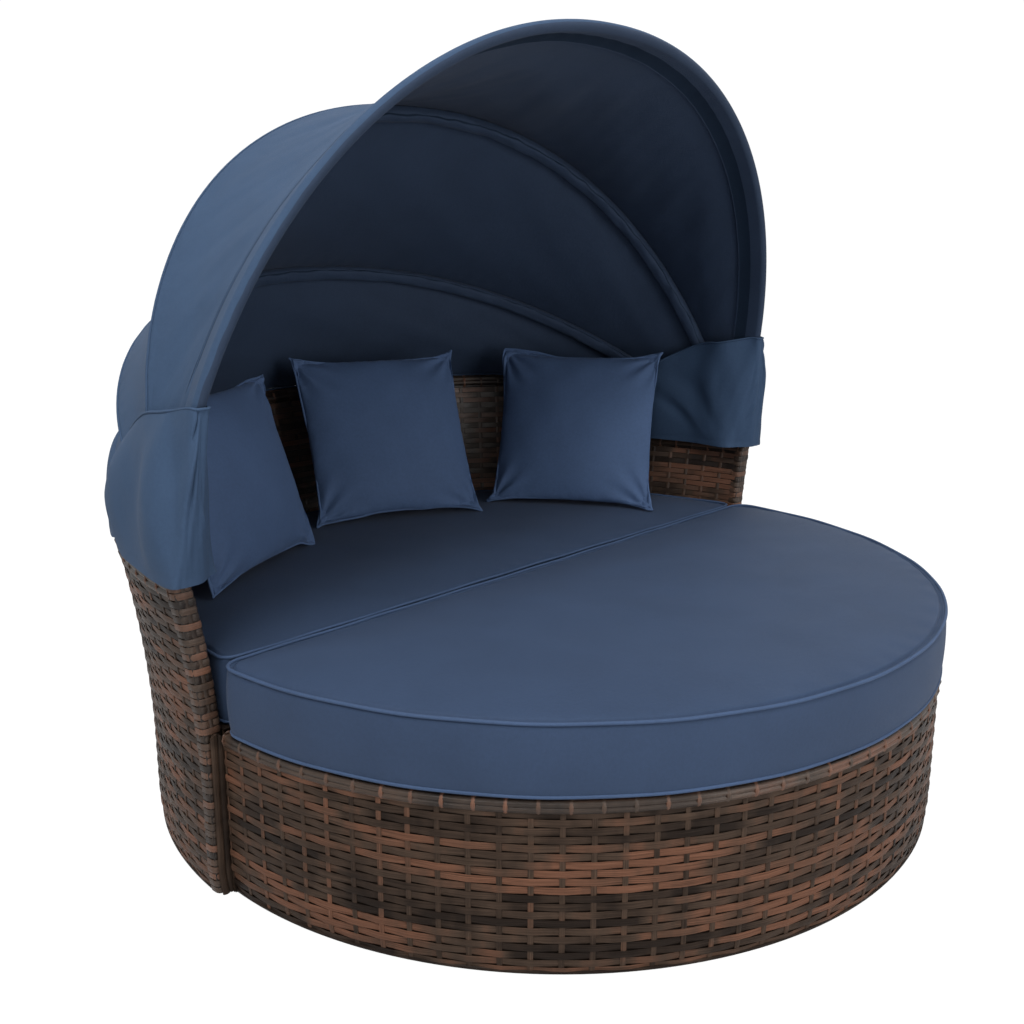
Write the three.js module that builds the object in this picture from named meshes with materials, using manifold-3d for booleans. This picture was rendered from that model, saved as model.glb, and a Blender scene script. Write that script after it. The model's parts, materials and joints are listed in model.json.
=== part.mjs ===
// Round outdoor daybed with a folding fan canopy, in millimetres, +Z up.
// The front faces -Y. The sofa half stands behind, the ottoman half in front of the split,
// and three hoops carry the cloth canopy from one pivot bolt at the end of each arm.

import * as THREE from 'three';
import { mergeVertices } from 'three/addons/utils/BufferGeometryUtils.js';
import Module from 'manifold-3d';

const wasm = await Module();
wasm.setup();

// Plan of the two halves
const cushionRadius = 750;
const splitPlaceY = 37.5;
const splitGap = 8;

// Heights
const baseTopHeight = 286;
const cushionSeamHeight = 398;
const armHeight = 546;
const backHeight = 690;
const pivotRise = 19;
const footClearance = 2;

// Wall of the sofa half
const wallFootOutset = 22;
const flareStartHeight = 188;
const flareSlopeShare = 0.022;
const flareCurveLength = 3730;
const floorTuckHeight = 60;
const floorTuck = 6;
const backRiseStartAngle = THREE.MathUtils.degToRad(20);
const backRiseEndAngle = THREE.MathUtils.degToRad(52);

// Base of the ottoman half, under its cushion
const ottomanInset = 4;

// Stock sizes
const weaveThickness = 6;
const weaveClearance = 0.8;
const seatGap = 0.3;
const postDiameter = 25;
const railDiameter = 22;
const topRailDiameter = 19;
const topRailBoreClearance = 0.8;
const bindingThickness = 12;
const slatEndGap = 1.2;
const slopedRollDrop = 6;
const deckThickness = 10;
const deckEdgeGap = 3;
const deckCornerRadius = 40;

// Ottoman rim
const rimDiameter = 28;
const rimRailDiameter = 16;
const rimOverhang = 2;

// Glides
const glideRadius = 10.5;
const glideHeight = 7;
const glideBevel = 2;
const glidePlaceX = 640;
const glideArcAngle = THREE.MathUtils.degToRad(58);

// Seat cushions
const cushionCornerRadius = 60;
const cushionCrown = 14;
const cushionBorderBulge = 4;
const cushionCentreShare = 0.35;
const sofaCushionWallGap = 6;

// Throw pillows
const pillowSize = 400;
const pillowThickness = 120;
const pillowSideDrawShare = 0.07;
const pillowSeatGap = 0.5;
const pillowPlaceShares = {
  left: [-0.541, 0.501],
  middle: [0.055, 0.647],
  right: [0.536, 0.385],
};
const pillowTurns = { left: 25.5, middle: -22.8, right: -58.5 };
const pillowLeans = { left: 17, middle: 27.5, right: 28.5 };

// Pivots and brackets
const pivotPlaceY = 77;
const boltRadius = 5;
const boltClearance = 0.4;
const boltHeadRadius = 9;
const boltHeadLength = 6;
const nutLength = 7;
const boltTip = 3;
const hubRadius = 12;
const hubSpacing = 20;
const hubSideGap = 0.6;
const earThickness = 5;
const earHalfWidth = 14;
const bracketBaseThickness = 4;

// Hoops, each an arch in its own plane through the two pivots
const hoopTubeRadius = 8;
const hoopArmInset = 24.24;
const frontHoopRise = 854;
const frontHoopTilt = THREE.MathUtils.degToRad(14.4);
const frontHoopFullness = 2.131;
const middleHoopRise = 775;
const middleHoopTilt = THREE.MathUtils.degToRad(-21.5);
const middleHoopFullness = 2.18;
const rearHoopRise = 749;
const rearHoopTilt = THREE.MathUtils.degToRad(-57.9);
const rearHoopFullness = 2.15;

// Cloth
const clothThickness = 2.5;
const clothGap = 0.8;
const sleeveThickness = 4;
const frontHemDepth = 55;
const frontHemGap = 4;
const frontPanelSag = 30;
const middlePanelSag = 26;
const rearPanelSag = 18;
const panelFootHeight = 60;
const panelFoldDepth = 3;
const panelFoldCount = 7;

// Skirts and valance, the cloth that slips over the wall's top edge
const skirtHemDrop = 5;
const skirtFrontSeamHeight = 809;
const skirtMiddleSeamDrop = 25;
const skirtBackSeamDrop = 55;
const skirtOuterClearance = 5;
const skirtPivotClearance = 3;
const skirtWallClearance = 7;
const skirtBulge = 13;
const skirtFoldDepth = 5;
const skirtOuterEndAngle = THREE.MathUtils.degToRad(20.5);
const skirtInnerEndAngle = THREE.MathUtils.degToRad(21.5);
const valanceEndSteps = 3;
const valanceFlap = 14;
const valanceGap = 0.9;

// Counts of steps and sides
const tubeSides = 8;
const boreSides = 6;
const arcSteps = 18;
const rollSteps = 28;
const wallSteps = 40;
const canopySteps = 26;
const hubSides = 12;
const hexSides = 6;
const weld = 0.001;

// Finishes
const finishes = {
  weave: new THREE.MeshStandardMaterial({ color: 0x4a3a33, roughness: 0.5, metalness: 0 }),
  steel: new THREE.MeshStandardMaterial({ color: 0x2a211d, roughness: 0.45, metalness: 0.6 }),
  zinc: new THREE.MeshStandardMaterial({ color: 0x8d9094, roughness: 0.35, metalness: 0.9 }),
  plastic: new THREE.MeshStandardMaterial({ color: 0x1c1a19, roughness: 0.6, metalness: 0 }),
  board: new THREE.MeshStandardMaterial({ color: 0x54443a, roughness: 0.7, metalness: 0 }),
  cushion: new THREE.MeshStandardMaterial({ color: 0x3a465e, roughness: 0.85, metalness: 0 }),
  canopy: new THREE.MeshStandardMaterial({ color: 0x46566f, roughness: 0.8, metalness: 0 }),
};

const daybed = new THREE.Group();
const sides = { left: -1, right: 1 };

// Worked out from the driving sizes
const wallFootRadius = cushionRadius + wallFootOutset;
const ottomanRadius = cushionRadius - ottomanInset;
const sofaFrontY = splitPlaceY + splitGap / 2;
const ottomanBackY = splitPlaceY - splitGap / 2;
const wallThickness = 2 * (weaveThickness + weaveClearance) + postDiameter;
const rollRadius = wallThickness / 2;
const pivotHeight = armHeight + pivotRise;
const skirtHemHeight = armHeight - skirtHemDrop;
const postInset = weaveThickness + weaveClearance + postDiameter / 2;
const innerRailInset = postInset + postDiameter / 2 + 2 * seatGap + railDiameter / 2;
const floorRailHeight = glideHeight + seatGap + railDiameter / 2;
const deckBottomHeight = baseTopHeight - deckThickness;
const seatRailHeight = deckBottomHeight - seatGap - railDiameter / 2;

// Solid building

function signedVolume(geometry) {
  const position = geometry.attributes.position;
  const index = geometry.index.array;
  const [a, b, c] = [new THREE.Vector3(), new THREE.Vector3(), new THREE.Vector3()];
  let volume = 0;
  for (let i = 0; i < index.length; i += 3) {
    a.fromBufferAttribute(position, index[i]);
    b.fromBufferAttribute(position, index[i + 1]);
    c.fromBufferAttribute(position, index[i + 2]);
    volume += a.dot(b.cross(c)) / 6;
  }
  return volume;
}

// Welds a geometry into one body whose faces point out.
function closedBody(geometry) {
  geometry.deleteAttribute('normal');
  geometry.deleteAttribute('uv');
  const body = mergeVertices(geometry, weld);
  if (signedVolume(body) < 0) {
    const index = body.index.array;
    for (let i = 0; i < index.length; i += 3) {
      [index[i], index[i + 1]] = [index[i + 1], index[i]];
    }
  }
  body.computeVertexNormals();
  return body;
}

function toSolid(geometry) {
  const body = closedBody(geometry);
  return new wasm.Manifold(new wasm.Mesh({
    numProp: 3,
    vertProperties: new Float32Array(body.attributes.position.array),
    triVerts: new Uint32Array(body.index.array),
  }));
}

function fromSolid(solid) {
  const mesh = solid.getMesh();
  const geometry = new THREE.BufferGeometry();
  const positions = new Float32Array(mesh.vertProperties);
  geometry.setAttribute('position', new THREE.BufferAttribute(positions, 3));
  geometry.setIndex(new THREE.BufferAttribute(new Uint32Array(mesh.triVerts), 1));
  return geometry;
}

function addPart(name, geometry, finish, place = [0, 0, 0]) {
  const mesh = new THREE.Mesh(closedBody(geometry), finishes[finish]);
  mesh.name = name;
  mesh.position.set(...place);
  daybed.add(mesh);
  return mesh;
}

function polygonPoints(radius, count) {
  const points = [];
  for (let i = 0; i < count; i += 1) {
    const angle = 2 * Math.PI * (i + 0.5) / count;
    points.push(new THREE.Vector2(radius * Math.cos(angle), radius * Math.sin(angle)));
  }
  return points;
}

// The corner radius of a section whose flat sides lie at a radius.
function acrossFlats(radius) {
  return radius / Math.cos(Math.PI / tubeSides);
}

// A round bar or tube through rings, each with its centre and the two ways across it.
function ringTube(rings, radius, count = tubeSides, boreRadius = 0, boreCount = boreSides) {
  const positions = [];
  const index = [];
  const addWall = (wallPoints) => {
    const first = positions.length / 3;
    for (const { centre, outward, upward } of rings) {
      for (const point of wallPoints) {
        const place = centre.clone().addScaledVector(outward, point.x).addScaledVector(upward, point.y);
        positions.push(...place.toArray());
      }
    }
    return first;
  };
  const joinWall = (first, size, reversed) => {
    for (let ring = 0; ring < rings.length - 1; ring += 1) {
      for (let i = 0; i < size; i += 1) {
        const a = first + ring * size + i;
        const b = first + ring * size + (i + 1) % size;
        const quad = [a, b, b + size, a, b + size, a + size];
        index.push(...(reversed ? quad.reverse() : quad));
      }
    }
  };
  const outer = polygonPoints(radius, count);
  const bore = boreRadius > 0 ? polygonPoints(boreRadius, boreCount) : [];
  const outerFirst = addWall(outer);
  joinWall(outerFirst, count, false);
  const boreFirst = boreRadius > 0 ? addWall(bore) : 0;
  if (boreRadius > 0) {
    joinWall(boreFirst, boreCount, true);
  }
  const capFaces = THREE.ShapeUtils.triangulateShape(outer, boreRadius > 0 ? [bore] : []);
  const capVertex = (ring, i) => (
    i < count ? outerFirst + ring * count + i : boreFirst + ring * boreCount + i - count
  );
  for (const [a, b, c] of capFaces) {
    const last = rings.length - 1;
    index.push(capVertex(0, a), capVertex(0, c), capVertex(0, b));
    index.push(capVertex(last, a), capVertex(last, b), capVertex(last, c));
  }
  const geometry = new THREE.BufferGeometry();
  geometry.setAttribute('position', new THREE.Float32BufferAttribute(positions, 3));
  geometry.setIndex(index);
  return geometry;
}

// Rings along a run in the plan, each standing upright across the way to the plan's centre.
function uprightRings(steps, centreAt) {
  const rings = [];
  for (let i = 0; i <= steps; i += 1) {
    const centre = centreAt(i / steps);
    const outward = new THREE.Vector3(centre.x, centre.y, 0).normalize();
    rings.push({ centre, outward, upward: new THREE.Vector3(0, 0, 1) });
  }
  return rings;
}

function straightBar(from, to, radius) {
  const cornerRadius = acrossFlats(radius);
  const bar = new THREE.CylinderGeometry(cornerRadius, cornerRadius, from.distanceTo(to), tubeSides);
  bar.rotateY(Math.PI / tubeSides);
  const turn = new THREE.Quaternion().setFromUnitVectors(
    new THREE.Vector3(0, 1, 0), to.clone().sub(from).normalize(),
  );
  bar.applyQuaternion(turn);
  const middle = from.clone().lerp(to, 0.5);
  bar.translate(middle.x, middle.y, middle.z);
  return bar;
}

// The closed shell between two faces, each a formula of u and v from 0 to 1.
function shellBetween(faceA, faceB, uSteps, vSteps) {
  const positions = [];
  for (const face of [faceA, faceB]) {
    for (let i = 0; i <= uSteps; i += 1) {
      for (let j = 0; j <= vSteps; j += 1) {
        positions.push(...face(i / uSteps, j / vSteps).toArray());
      }
    }
  }
  const layerSize = (uSteps + 1) * (vSteps + 1);
  const at = (layer, i, j) => layer * layerSize + i * (vSteps + 1) + j;
  const index = [];
  const quad = (a, b, c, d) => index.push(a, b, c, a, c, d);
  for (let i = 0; i < uSteps; i += 1) {
    for (let j = 0; j < vSteps; j += 1) {
      quad(at(0, i, j), at(0, i + 1, j), at(0, i + 1, j + 1), at(0, i, j + 1));
      quad(at(1, i, j + 1), at(1, i + 1, j + 1), at(1, i + 1, j), at(1, i, j));
    }
    quad(at(1, i, 0), at(1, i + 1, 0), at(0, i + 1, 0), at(0, i, 0));
    quad(at(0, i, vSteps), at(0, i + 1, vSteps), at(1, i + 1, vSteps), at(1, i, vSteps));
  }
  for (let j = 0; j < vSteps; j += 1) {
    quad(at(0, 0, j), at(0, 0, j + 1), at(1, 0, j + 1), at(1, 0, j));
    quad(at(1, uSteps, j), at(1, uSteps, j + 1), at(0, uSteps, j + 1), at(0, uSteps, j));
  }
  const geometry = new THREE.BufferGeometry();
  geometry.setAttribute('position', new THREE.Float32BufferAttribute(positions, 3));
  geometry.setIndex(index);
  return geometry;
}

// A sheet of cloth: the face given by stations across and a parameter along, thickened outward.
function sheetThrough(stations, vSteps, thickness) {
  const uSteps = stations.length - 1;
  const grid = stations.map((station) => {
    const row = [];
    for (let j = 0; j <= vSteps; j += 1) {
      row.push(station(j / vSteps));
    }
    return row;
  });
  const normalAt = (i, j) => {
    const across = grid[Math.min(i + 1, uSteps)][j].clone().sub(grid[Math.max(i - 1, 0)][j]);
    const along = grid[i][Math.min(j + 1, vSteps)].clone().sub(grid[i][Math.max(j - 1, 0)]);
    return across.cross(along).normalize();
  };
  const place = (u, v) => [Math.round(u * uSteps), Math.round(v * vSteps)];
  const inner = (u, v) => {
    const [i, j] = place(u, v);
    return grid[i][j];
  };
  const outer = (u, v) => {
    const [i, j] = place(u, v);
    return grid[i][j].clone().addScaledVector(normalAt(i, j), thickness);
  };
  return shellBetween(inner, outer, uSteps, vSteps);
}

// Wall profile of the sofa half

function wallRadius(height) {
  const rise = Math.max(0, height - flareStartHeight);
  const tuckShare = Math.max(0, floorTuckHeight - height) / floorTuckHeight;
  const flare = flareSlopeShare * rise + rise ** 2 / flareCurveLength;
  return wallFootRadius + flare - floorTuck * tuckShare ** 2;
}

function wallTop(angle) {
  const side = Math.min(angle, Math.PI - angle);
  const share = THREE.MathUtils.smoothstep(side, backRiseStartAngle, backRiseEndAngle);
  return armHeight + (backHeight - armHeight) * share;
}

function polar(radius, angle, height) {
  return new THREE.Vector3(radius * Math.cos(angle), radius * Math.sin(angle), height);
}

const wallStartY = sofaFrontY + bindingThickness + seatGap;

// A point of the wall at a share of its run from the right arm's end to the left arm's end.
function wallPoint(share, heightShare, bottom, topDrop, inset) {
  const footAngle = Math.asin(wallStartY / wallFootRadius);
  const roughAngle = THREE.MathUtils.lerp(footAngle, Math.PI - footAngle, share);
  const height = THREE.MathUtils.lerp(bottom, wallTop(roughAngle) - topDrop, heightShare);
  const radius = wallRadius(height) - inset;
  const startAngle = Math.asin(wallStartY / radius);
  return polar(radius, THREE.MathUtils.lerp(startAngle, Math.PI - startAngle, share), height);
}

function wallSkin(bottom, outerInset, heightSteps) {
  const topDrop = 2 * (rollRadius + weaveClearance);
  const face = (inset) => (u, v) => wallPoint(u, v, bottom, topDrop, inset);
  return shellBetween(face(outerInset), face(outerInset + weaveThickness), wallSteps, heightSteps);
}

const rollEndShare = 0.0008;
const rollRings = uprightRings(rollSteps, (t) => {
  const share = THREE.MathUtils.lerp(rollEndShare, 1 - rollEndShare, t);
  return wallPoint(share, 1, footClearance, rollRadius, rollRadius);
});

// Sofa frame

const floorArcRadius = wallRadius(floorRailHeight) - innerRailInset;
const frontRailY = sofaFrontY + weaveThickness + seatGap + railDiameter / 2;
const endPostY = wallStartY + postDiameter / 2 + seatGap;

function arcRings(steps, radius, height, startAngle, endAngle) {
  const angleAt = (t) => THREE.MathUtils.lerp(startAngle, endAngle, t);
  return uprightRings(steps, (t) => polar(radius, angleAt(t), height));
}

// The plan angle at which an arc rail starts, its whole end face clear of the front rail.
function arcStartAngle(radius) {
  const backOfFrontRail = frontRailY + railDiameter / 2 + seatGap;
  const endTilt = acrossFlats(railDiameter / 2) * backOfFrontRail / radius;
  return Math.asin((backOfFrontRail + endTilt) / radius);
}

function addSofaRails(name, height) {
  const radius = wallRadius(height) - innerRailInset;
  const startAngle = arcStartAngle(radius);
  const arc = arcRings(arcSteps, radius, height, startAngle, Math.PI - startAngle);
  addPart(`sofa_${name}_rail_arc`, ringTube(arc, acrossFlats(railDiameter / 2)), 'steel');
  const left = new THREE.Vector3(-radius, frontRailY, height);
  const right = new THREE.Vector3(radius, frontRailY, height);
  addPart(`sofa_${name}_rail_front`, straightBar(left, right, railDiameter / 2), 'steel');
}
addSofaRails('floor', floorRailHeight);
addSofaRails('seat', seatRailHeight);

addPart('sofa_top_rail', ringTube(rollRings, topRailDiameter / 2, boreSides), 'steel');
addPart(
  'sofa_top_roll',
  ringTube(rollRings, acrossFlats(rollRadius), tubeSides, topRailDiameter / 2 + topRailBoreClearance),
  'weave',
);

// A post that follows the wall's flare at one angle of the plan.
const postSteps = 6;
function flaredPost(angleAt, top) {
  const rings = [];
  for (let i = 0; i <= postSteps; i += 1) {
    const height = THREE.MathUtils.lerp(glideHeight, top, i / postSteps);
    const radius = wallRadius(height) - postInset;
    const angle = angleAt(radius);
    const outward = polar(1, angle, 0);
    const along = new THREE.Vector3(-outward.y, outward.x, 0);
    rings.push({ centre: polar(radius, angle, height), outward, upward: along });
  }
  return ringTube(rings, postDiameter / 2);
}

const postTopDrop = 2 * rollRadius + seatGap;
for (const [side, sign] of Object.entries(sides)) {
  const angleAt = (radius) => {
    const angle = Math.asin(endPostY / radius);
    return sign > 0 ? angle : Math.PI - angle;
  };
  addPart(`sofa_end_post_${side}`, flaredPost(angleAt, armHeight - postTopDrop), 'steel');
}
const backPostSteps = { right: 4, middle: 9, left: 14 };
for (const [place, step] of Object.entries(backPostSteps)) {
  const startAngle = arcStartAngle(floorArcRadius);
  const angle = THREE.MathUtils.lerp(startAngle, Math.PI - startAngle, step / arcSteps);
  const top = wallTop(angle) - postTopDrop - slopedRollDrop;
  addPart(`sofa_back_post_${place}`, flaredPost(() => angle, top), 'steel');
}

const slatReach = wallRadius(seatRailHeight) - innerRailInset - railDiameter / 2 - slatEndGap;
addPart(
  'sofa_seat_slat',
  straightBar(
    new THREE.Vector3(0, frontRailY + railDiameter / 2 + seatGap, seatRailHeight),
    new THREE.Vector3(0, slatReach, seatRailHeight),
    railDiameter / 2,
  ),
  'steel',
);

// Sofa weave

const outerSkinSteps = 5;
const innerSkinSteps = 4;
addPart('sofa_outer_weave', wallSkin(footClearance, 0, outerSkinSteps), 'weave');
const innerSkinInset = wallThickness - weaveThickness;
addPart('sofa_inner_weave', wallSkin(baseTopHeight + seatGap, innerSkinInset, innerSkinSteps), 'weave');

// The bound end of an arm: a flat board that follows the wall's flare.
function endBinding() {
  const outline = new THREE.Shape();
  const levels = 8;
  const top = armHeight - rollRadius;
  const outer = [];
  const inner = [];
  for (let i = 0; i <= levels; i += 1) {
    const height = THREE.MathUtils.lerp(footClearance, top, i / levels);
    const edge = Math.sqrt(wallRadius(height) ** 2 - wallStartY ** 2);
    outer.push(new THREE.Vector2(edge, height));
    inner.push(new THREE.Vector2(edge - wallThickness, height));
  }
  const crest = [];
  const crestSteps = 6;
  for (let i = 1; i < crestSteps; i += 1) {
    const angle = Math.PI * i / crestSteps;
    const middle = new THREE.Vector2(outer[levels].x - rollRadius, top);
    crest.push(middle.add(new THREE.Vector2(rollRadius * Math.cos(angle), rollRadius * Math.sin(angle))));
  }
  outline.setFromPoints([...outer, ...crest, ...inner.reverse()]);
  const board = new THREE.ExtrudeGeometry(outline, { depth: bindingThickness, bevelEnabled: false });
  board.rotateX(Math.PI / 2);
  board.translate(0, sofaFrontY + bindingThickness, 0);
  return board;
}
for (const [side, sign] of Object.entries(sides)) {
  const board = endBinding();
  board.scale(sign, 1, 1);
  addPart(`sofa_end_binding_${side}`, board, 'weave');
}

const bindingFootEdge = Math.sqrt((wallFootRadius - floorTuck) ** 2 - wallStartY ** 2);
const frontWeaveReach = bindingFootEdge - wallThickness - seatGap;
const frontWeaveHeight = deckBottomHeight - seatGap - footClearance;
addPart(
  'sofa_front_weave',
  new THREE.BoxGeometry(2 * frontWeaveReach, weaveThickness, frontWeaveHeight),
  'weave',
  [0, sofaFrontY + weaveThickness / 2, footClearance + frontWeaveHeight / 2],
);

// The plan of one half: the disc beyond a chord, its two corners rounded.
function halfRoundOutline(radius, chordY, cornerRadius, arcDivisions, cornerDivisions) {
  const cornerX = Math.sqrt((radius - cornerRadius) ** 2 - (chordY + cornerRadius) ** 2);
  const cornerY = chordY + cornerRadius;
  const tangent = Math.atan2(cornerY, cornerX);
  const points = [];
  const addArc = (centreX, centreY, arcRadius, start, end, divisions) => {
    for (let i = 0; i <= divisions; i += 1) {
      const angle = THREE.MathUtils.lerp(start, end, i / divisions);
      const [across, along] = [arcRadius * Math.cos(angle), arcRadius * Math.sin(angle)];
      points.push(new THREE.Vector2(centreX + across, centreY + along));
    }
  };
  addArc(cornerX, cornerY, cornerRadius, -Math.PI / 2, tangent, cornerDivisions);
  addArc(0, 0, radius, tangent, Math.PI - tangent, arcDivisions);
  addArc(-cornerX, cornerY, cornerRadius, Math.PI - tangent, 3 * Math.PI / 2, cornerDivisions);
  return points.filter((point, i) => i === 0 || point.distanceTo(points[i - 1]) > weld);
}

function halfRoundDeck(radius, chordY, thickness, cornerRadius) {
  const outline = new THREE.Shape(halfRoundOutline(radius, chordY, cornerRadius, rollSteps, 1));
  return new THREE.ExtrudeGeometry(outline, { depth: thickness, bevelEnabled: false });
}

const sofaDeckRadius = wallFootRadius - wallThickness - deckEdgeGap;
addPart(
  'sofa_seat_deck',
  halfRoundDeck(sofaDeckRadius, sofaFrontY + seatGap, deckThickness, deckCornerRadius),
  'board',
  [0, 0, deckBottomHeight],
);

// Glides

function glide() {
  const profile = [
    [0, 0],
    [glideRadius - glideBevel, 0],
    [glideRadius, glideBevel],
    [glideRadius, glideHeight],
    [0, glideHeight],
  ].map(([x, y]) => new THREE.Vector2(x, y));
  const body = new THREE.LatheGeometry(profile, hubSides);
  body.rotateX(Math.PI / 2);
  return body;
}
for (const [side, sign] of Object.entries(sides)) {
  addPart(`sofa_front_glide_${side}`, glide(), 'plastic', [sign * glidePlaceX, frontRailY, 0]);
  const arcPlace = polar(floorArcRadius, glideArcAngle, 0);
  addPart(`sofa_back_glide_${side}`, glide(), 'plastic', [sign * arcPlace.x, arcPlace.y, 0]);
}

// Ottoman frame and weave. Its plan is the sofa's turned round, so lengths along Y are negated.

function ottomanBaseRadius(height) {
  const tuckShare = Math.max(0, floorTuckHeight - height) / floorTuckHeight;
  return ottomanRadius - floorTuck * tuckShare ** 2;
}
const ottomanPostRadius = ottomanRadius - floorTuck - postInset;
const ottomanRailRadius = ottomanPostRadius - postDiameter / 2 - seatGap - railDiameter / 2;
const backRailY = ottomanBackY - weaveThickness - seatGap - railDiameter / 2;
const rimHeight = baseTopHeight - rimDiameter / 2;
const rimRadius = ottomanRadius + rimOverhang - rimDiameter / 2;
const ottomanSkinEndY = ottomanBackY - weaveThickness - seatGap;

function frontArc(steps, radius, height, endY) {
  const endAngle = Math.asin(endY / radius);
  return arcRings(steps, radius, height, endAngle, -Math.PI - endAngle);
}

const frontOfBackRail = backRailY - railDiameter / 2 - seatGap;
const ottomanBackReach = Math.sqrt(ottomanRailRadius ** 2 - frontOfBackRail ** 2);
addPart(
  'ottoman_floor_rail_arc',
  ringTube(
    frontArc(arcSteps, ottomanRailRadius, floorRailHeight, frontOfBackRail),
    acrossFlats(railDiameter / 2),
  ),
  'steel',
);
addPart(
  'ottoman_floor_rail_back',
  straightBar(
    new THREE.Vector3(-ottomanBackReach, backRailY, floorRailHeight),
    new THREE.Vector3(ottomanBackReach, backRailY, floorRailHeight),
    railDiameter / 2,
  ),
  'steel',
);
addPart(
  'ottoman_seat_rail_back',
  straightBar(
    new THREE.Vector3(-ottomanBackReach, backRailY, seatRailHeight),
    new THREE.Vector3(ottomanBackReach, backRailY, seatRailHeight),
    railDiameter / 2,
  ),
  'steel',
);
const rimRings = frontArc(rollSteps, rimRadius, rimHeight, ottomanSkinEndY);
addPart('ottoman_rim_rail', ringTube(rimRings, rimRailDiameter / 2, boreSides), 'steel');
addPart(
  'ottoman_rim_roll',
  ringTube(rimRings, acrossFlats(rimDiameter / 2), tubeSides, rimRailDiameter / 2 + topRailBoreClearance),
  'weave',
);

const ottomanPostTop = baseTopHeight - rimDiameter - seatGap;
const ottomanPostHeight = ottomanPostTop - glideHeight;
const cornerPostY = ottomanSkinEndY - postDiameter / 2;
const cornerPostX = Math.sqrt(ottomanPostRadius ** 2 - cornerPostY ** 2);
const ottomanPosts = {
  left: [-cornerPostX, cornerPostY],
  right: [cornerPostX, cornerPostY],
  front: [0, -ottomanPostRadius],
};
const ottomanPostSize = [postDiameter / 2, postDiameter / 2, ottomanPostHeight, tubeSides];
for (const [place, [x, y]] of Object.entries(ottomanPosts)) {
  const post = new THREE.CylinderGeometry(...ottomanPostSize);
  post.rotateX(Math.PI / 2);
  addPart(`ottoman_post_${place}`, post, 'steel', [x, y, glideHeight + ottomanPostHeight / 2]);
}

const ottomanDeckRadius = rimRadius - rimDiameter / 2 - deckEdgeGap;
addPart(
  'ottoman_seat_slat',
  straightBar(
    new THREE.Vector3(0, frontOfBackRail, seatRailHeight),
    new THREE.Vector3(0, -(ottomanPostRadius - postDiameter / 2 - seatGap), seatRailHeight),
    railDiameter / 2,
  ),
  'steel',
);

const tuckShares = [0, 0.1, 0.21, 1];

function ottomanSkin() {
  const top = baseTopHeight - rimDiameter - seatGap;
  const face = (inset) => (u, v) => {
    const heightShare = tuckShares[Math.round(v * (tuckShares.length - 1))];
    const height = THREE.MathUtils.lerp(footClearance, top, heightShare);
    const radius = ottomanBaseRadius(height) - inset;
    const endAngle = Math.asin(ottomanSkinEndY / radius);
    return polar(radius, THREE.MathUtils.lerp(endAngle, -Math.PI - endAngle, u), height);
  };
  return shellBetween(face(0), face(weaveThickness), wallSteps, tuckShares.length - 1);
}
addPart('ottoman_base_weave', ottomanSkin(), 'weave');

const ottomanBackWeaveReach = Math.sqrt((ottomanRadius - floorTuck) ** 2 - ottomanBackY ** 2);
addPart(
  'ottoman_back_weave',
  new THREE.BoxGeometry(2 * ottomanBackWeaveReach, weaveThickness, frontWeaveHeight),
  'weave',
  [0, ottomanBackY - weaveThickness / 2, footClearance + frontWeaveHeight / 2],
);

const ottomanDeck = halfRoundDeck(ottomanDeckRadius, -ottomanSkinEndY, deckThickness, deckCornerRadius);
ottomanDeck.scale(1, -1, 1);
addPart('ottoman_seat_deck', ottomanDeck, 'board', [0, 0, deckBottomHeight]);

for (const [side, sign] of Object.entries(sides)) {
  addPart(`ottoman_back_glide_${side}`, glide(), 'plastic', [sign * glidePlaceX, backRailY, 0]);
  const arcPlace = polar(ottomanRailRadius, -glideArcAngle, 0);
  addPart(`ottoman_front_glide_${side}`, glide(), 'plastic', [sign * arcPlace.x, arcPlace.y, 0]);
}

// Seat cushions: boxed, with a bulged border and a crowned top

const borderRingShares = [0, 0.25, 0.75, 1];
const crownRingShares = [0.95, 0.84, 0.62, 0.3];
const crownPower = 6;
const crownShare = (share) => Math.sqrt(1 - share ** crownPower);

function seatCushion(outline, centreY) {
  const bottom = baseTopHeight + seatGap;
  const count = outline.length;
  const positions = [];
  const addRing = (share, spread, height) => {
    outline.forEach((point) => {
      const arm = new THREE.Vector2(point.x, point.y - centreY);
      const length = arm.length();
      arm.multiplyScalar(share * (length + spread) / length);
      positions.push(arm.x, arm.y + centreY, height);
    });
  };
  for (const share of borderRingShares) {
    const spread = share > 0 && share < 1 ? 0 : -cushionBorderBulge;
    addRing(1, spread, THREE.MathUtils.lerp(bottom, cushionSeamHeight, share));
  }
  for (const share of crownRingShares) {
    addRing(share, -cushionBorderBulge, cushionSeamHeight + cushionCrown * crownShare(share));
  }
  const ringCount = borderRingShares.length + crownRingShares.length;
  positions.push(0, centreY, cushionSeamHeight + cushionCrown, 0, centreY, bottom);
  const index = [];
  for (let ring = 0; ring < ringCount - 1; ring += 1) {
    for (let i = 0; i < count; i += 1) {
      const next = (i + 1) % count;
      const [a, b] = [ring * count + i, ring * count + next];
      index.push(a, b, b + count, a, b + count, a + count);
    }
  }
  const last = (ringCount - 1) * count;
  const topCentre = ringCount * count;
  for (let i = 0; i < count; i += 1) {
    const next = (i + 1) % count;
    index.push(last + i, last + next, topCentre, next, i, topCentre + 1);
  }
  const geometry = new THREE.BufferGeometry();
  geometry.setAttribute('position', new THREE.Float32BufferAttribute(positions, 3));
  geometry.setIndex(index);
  return geometry;
}

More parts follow.
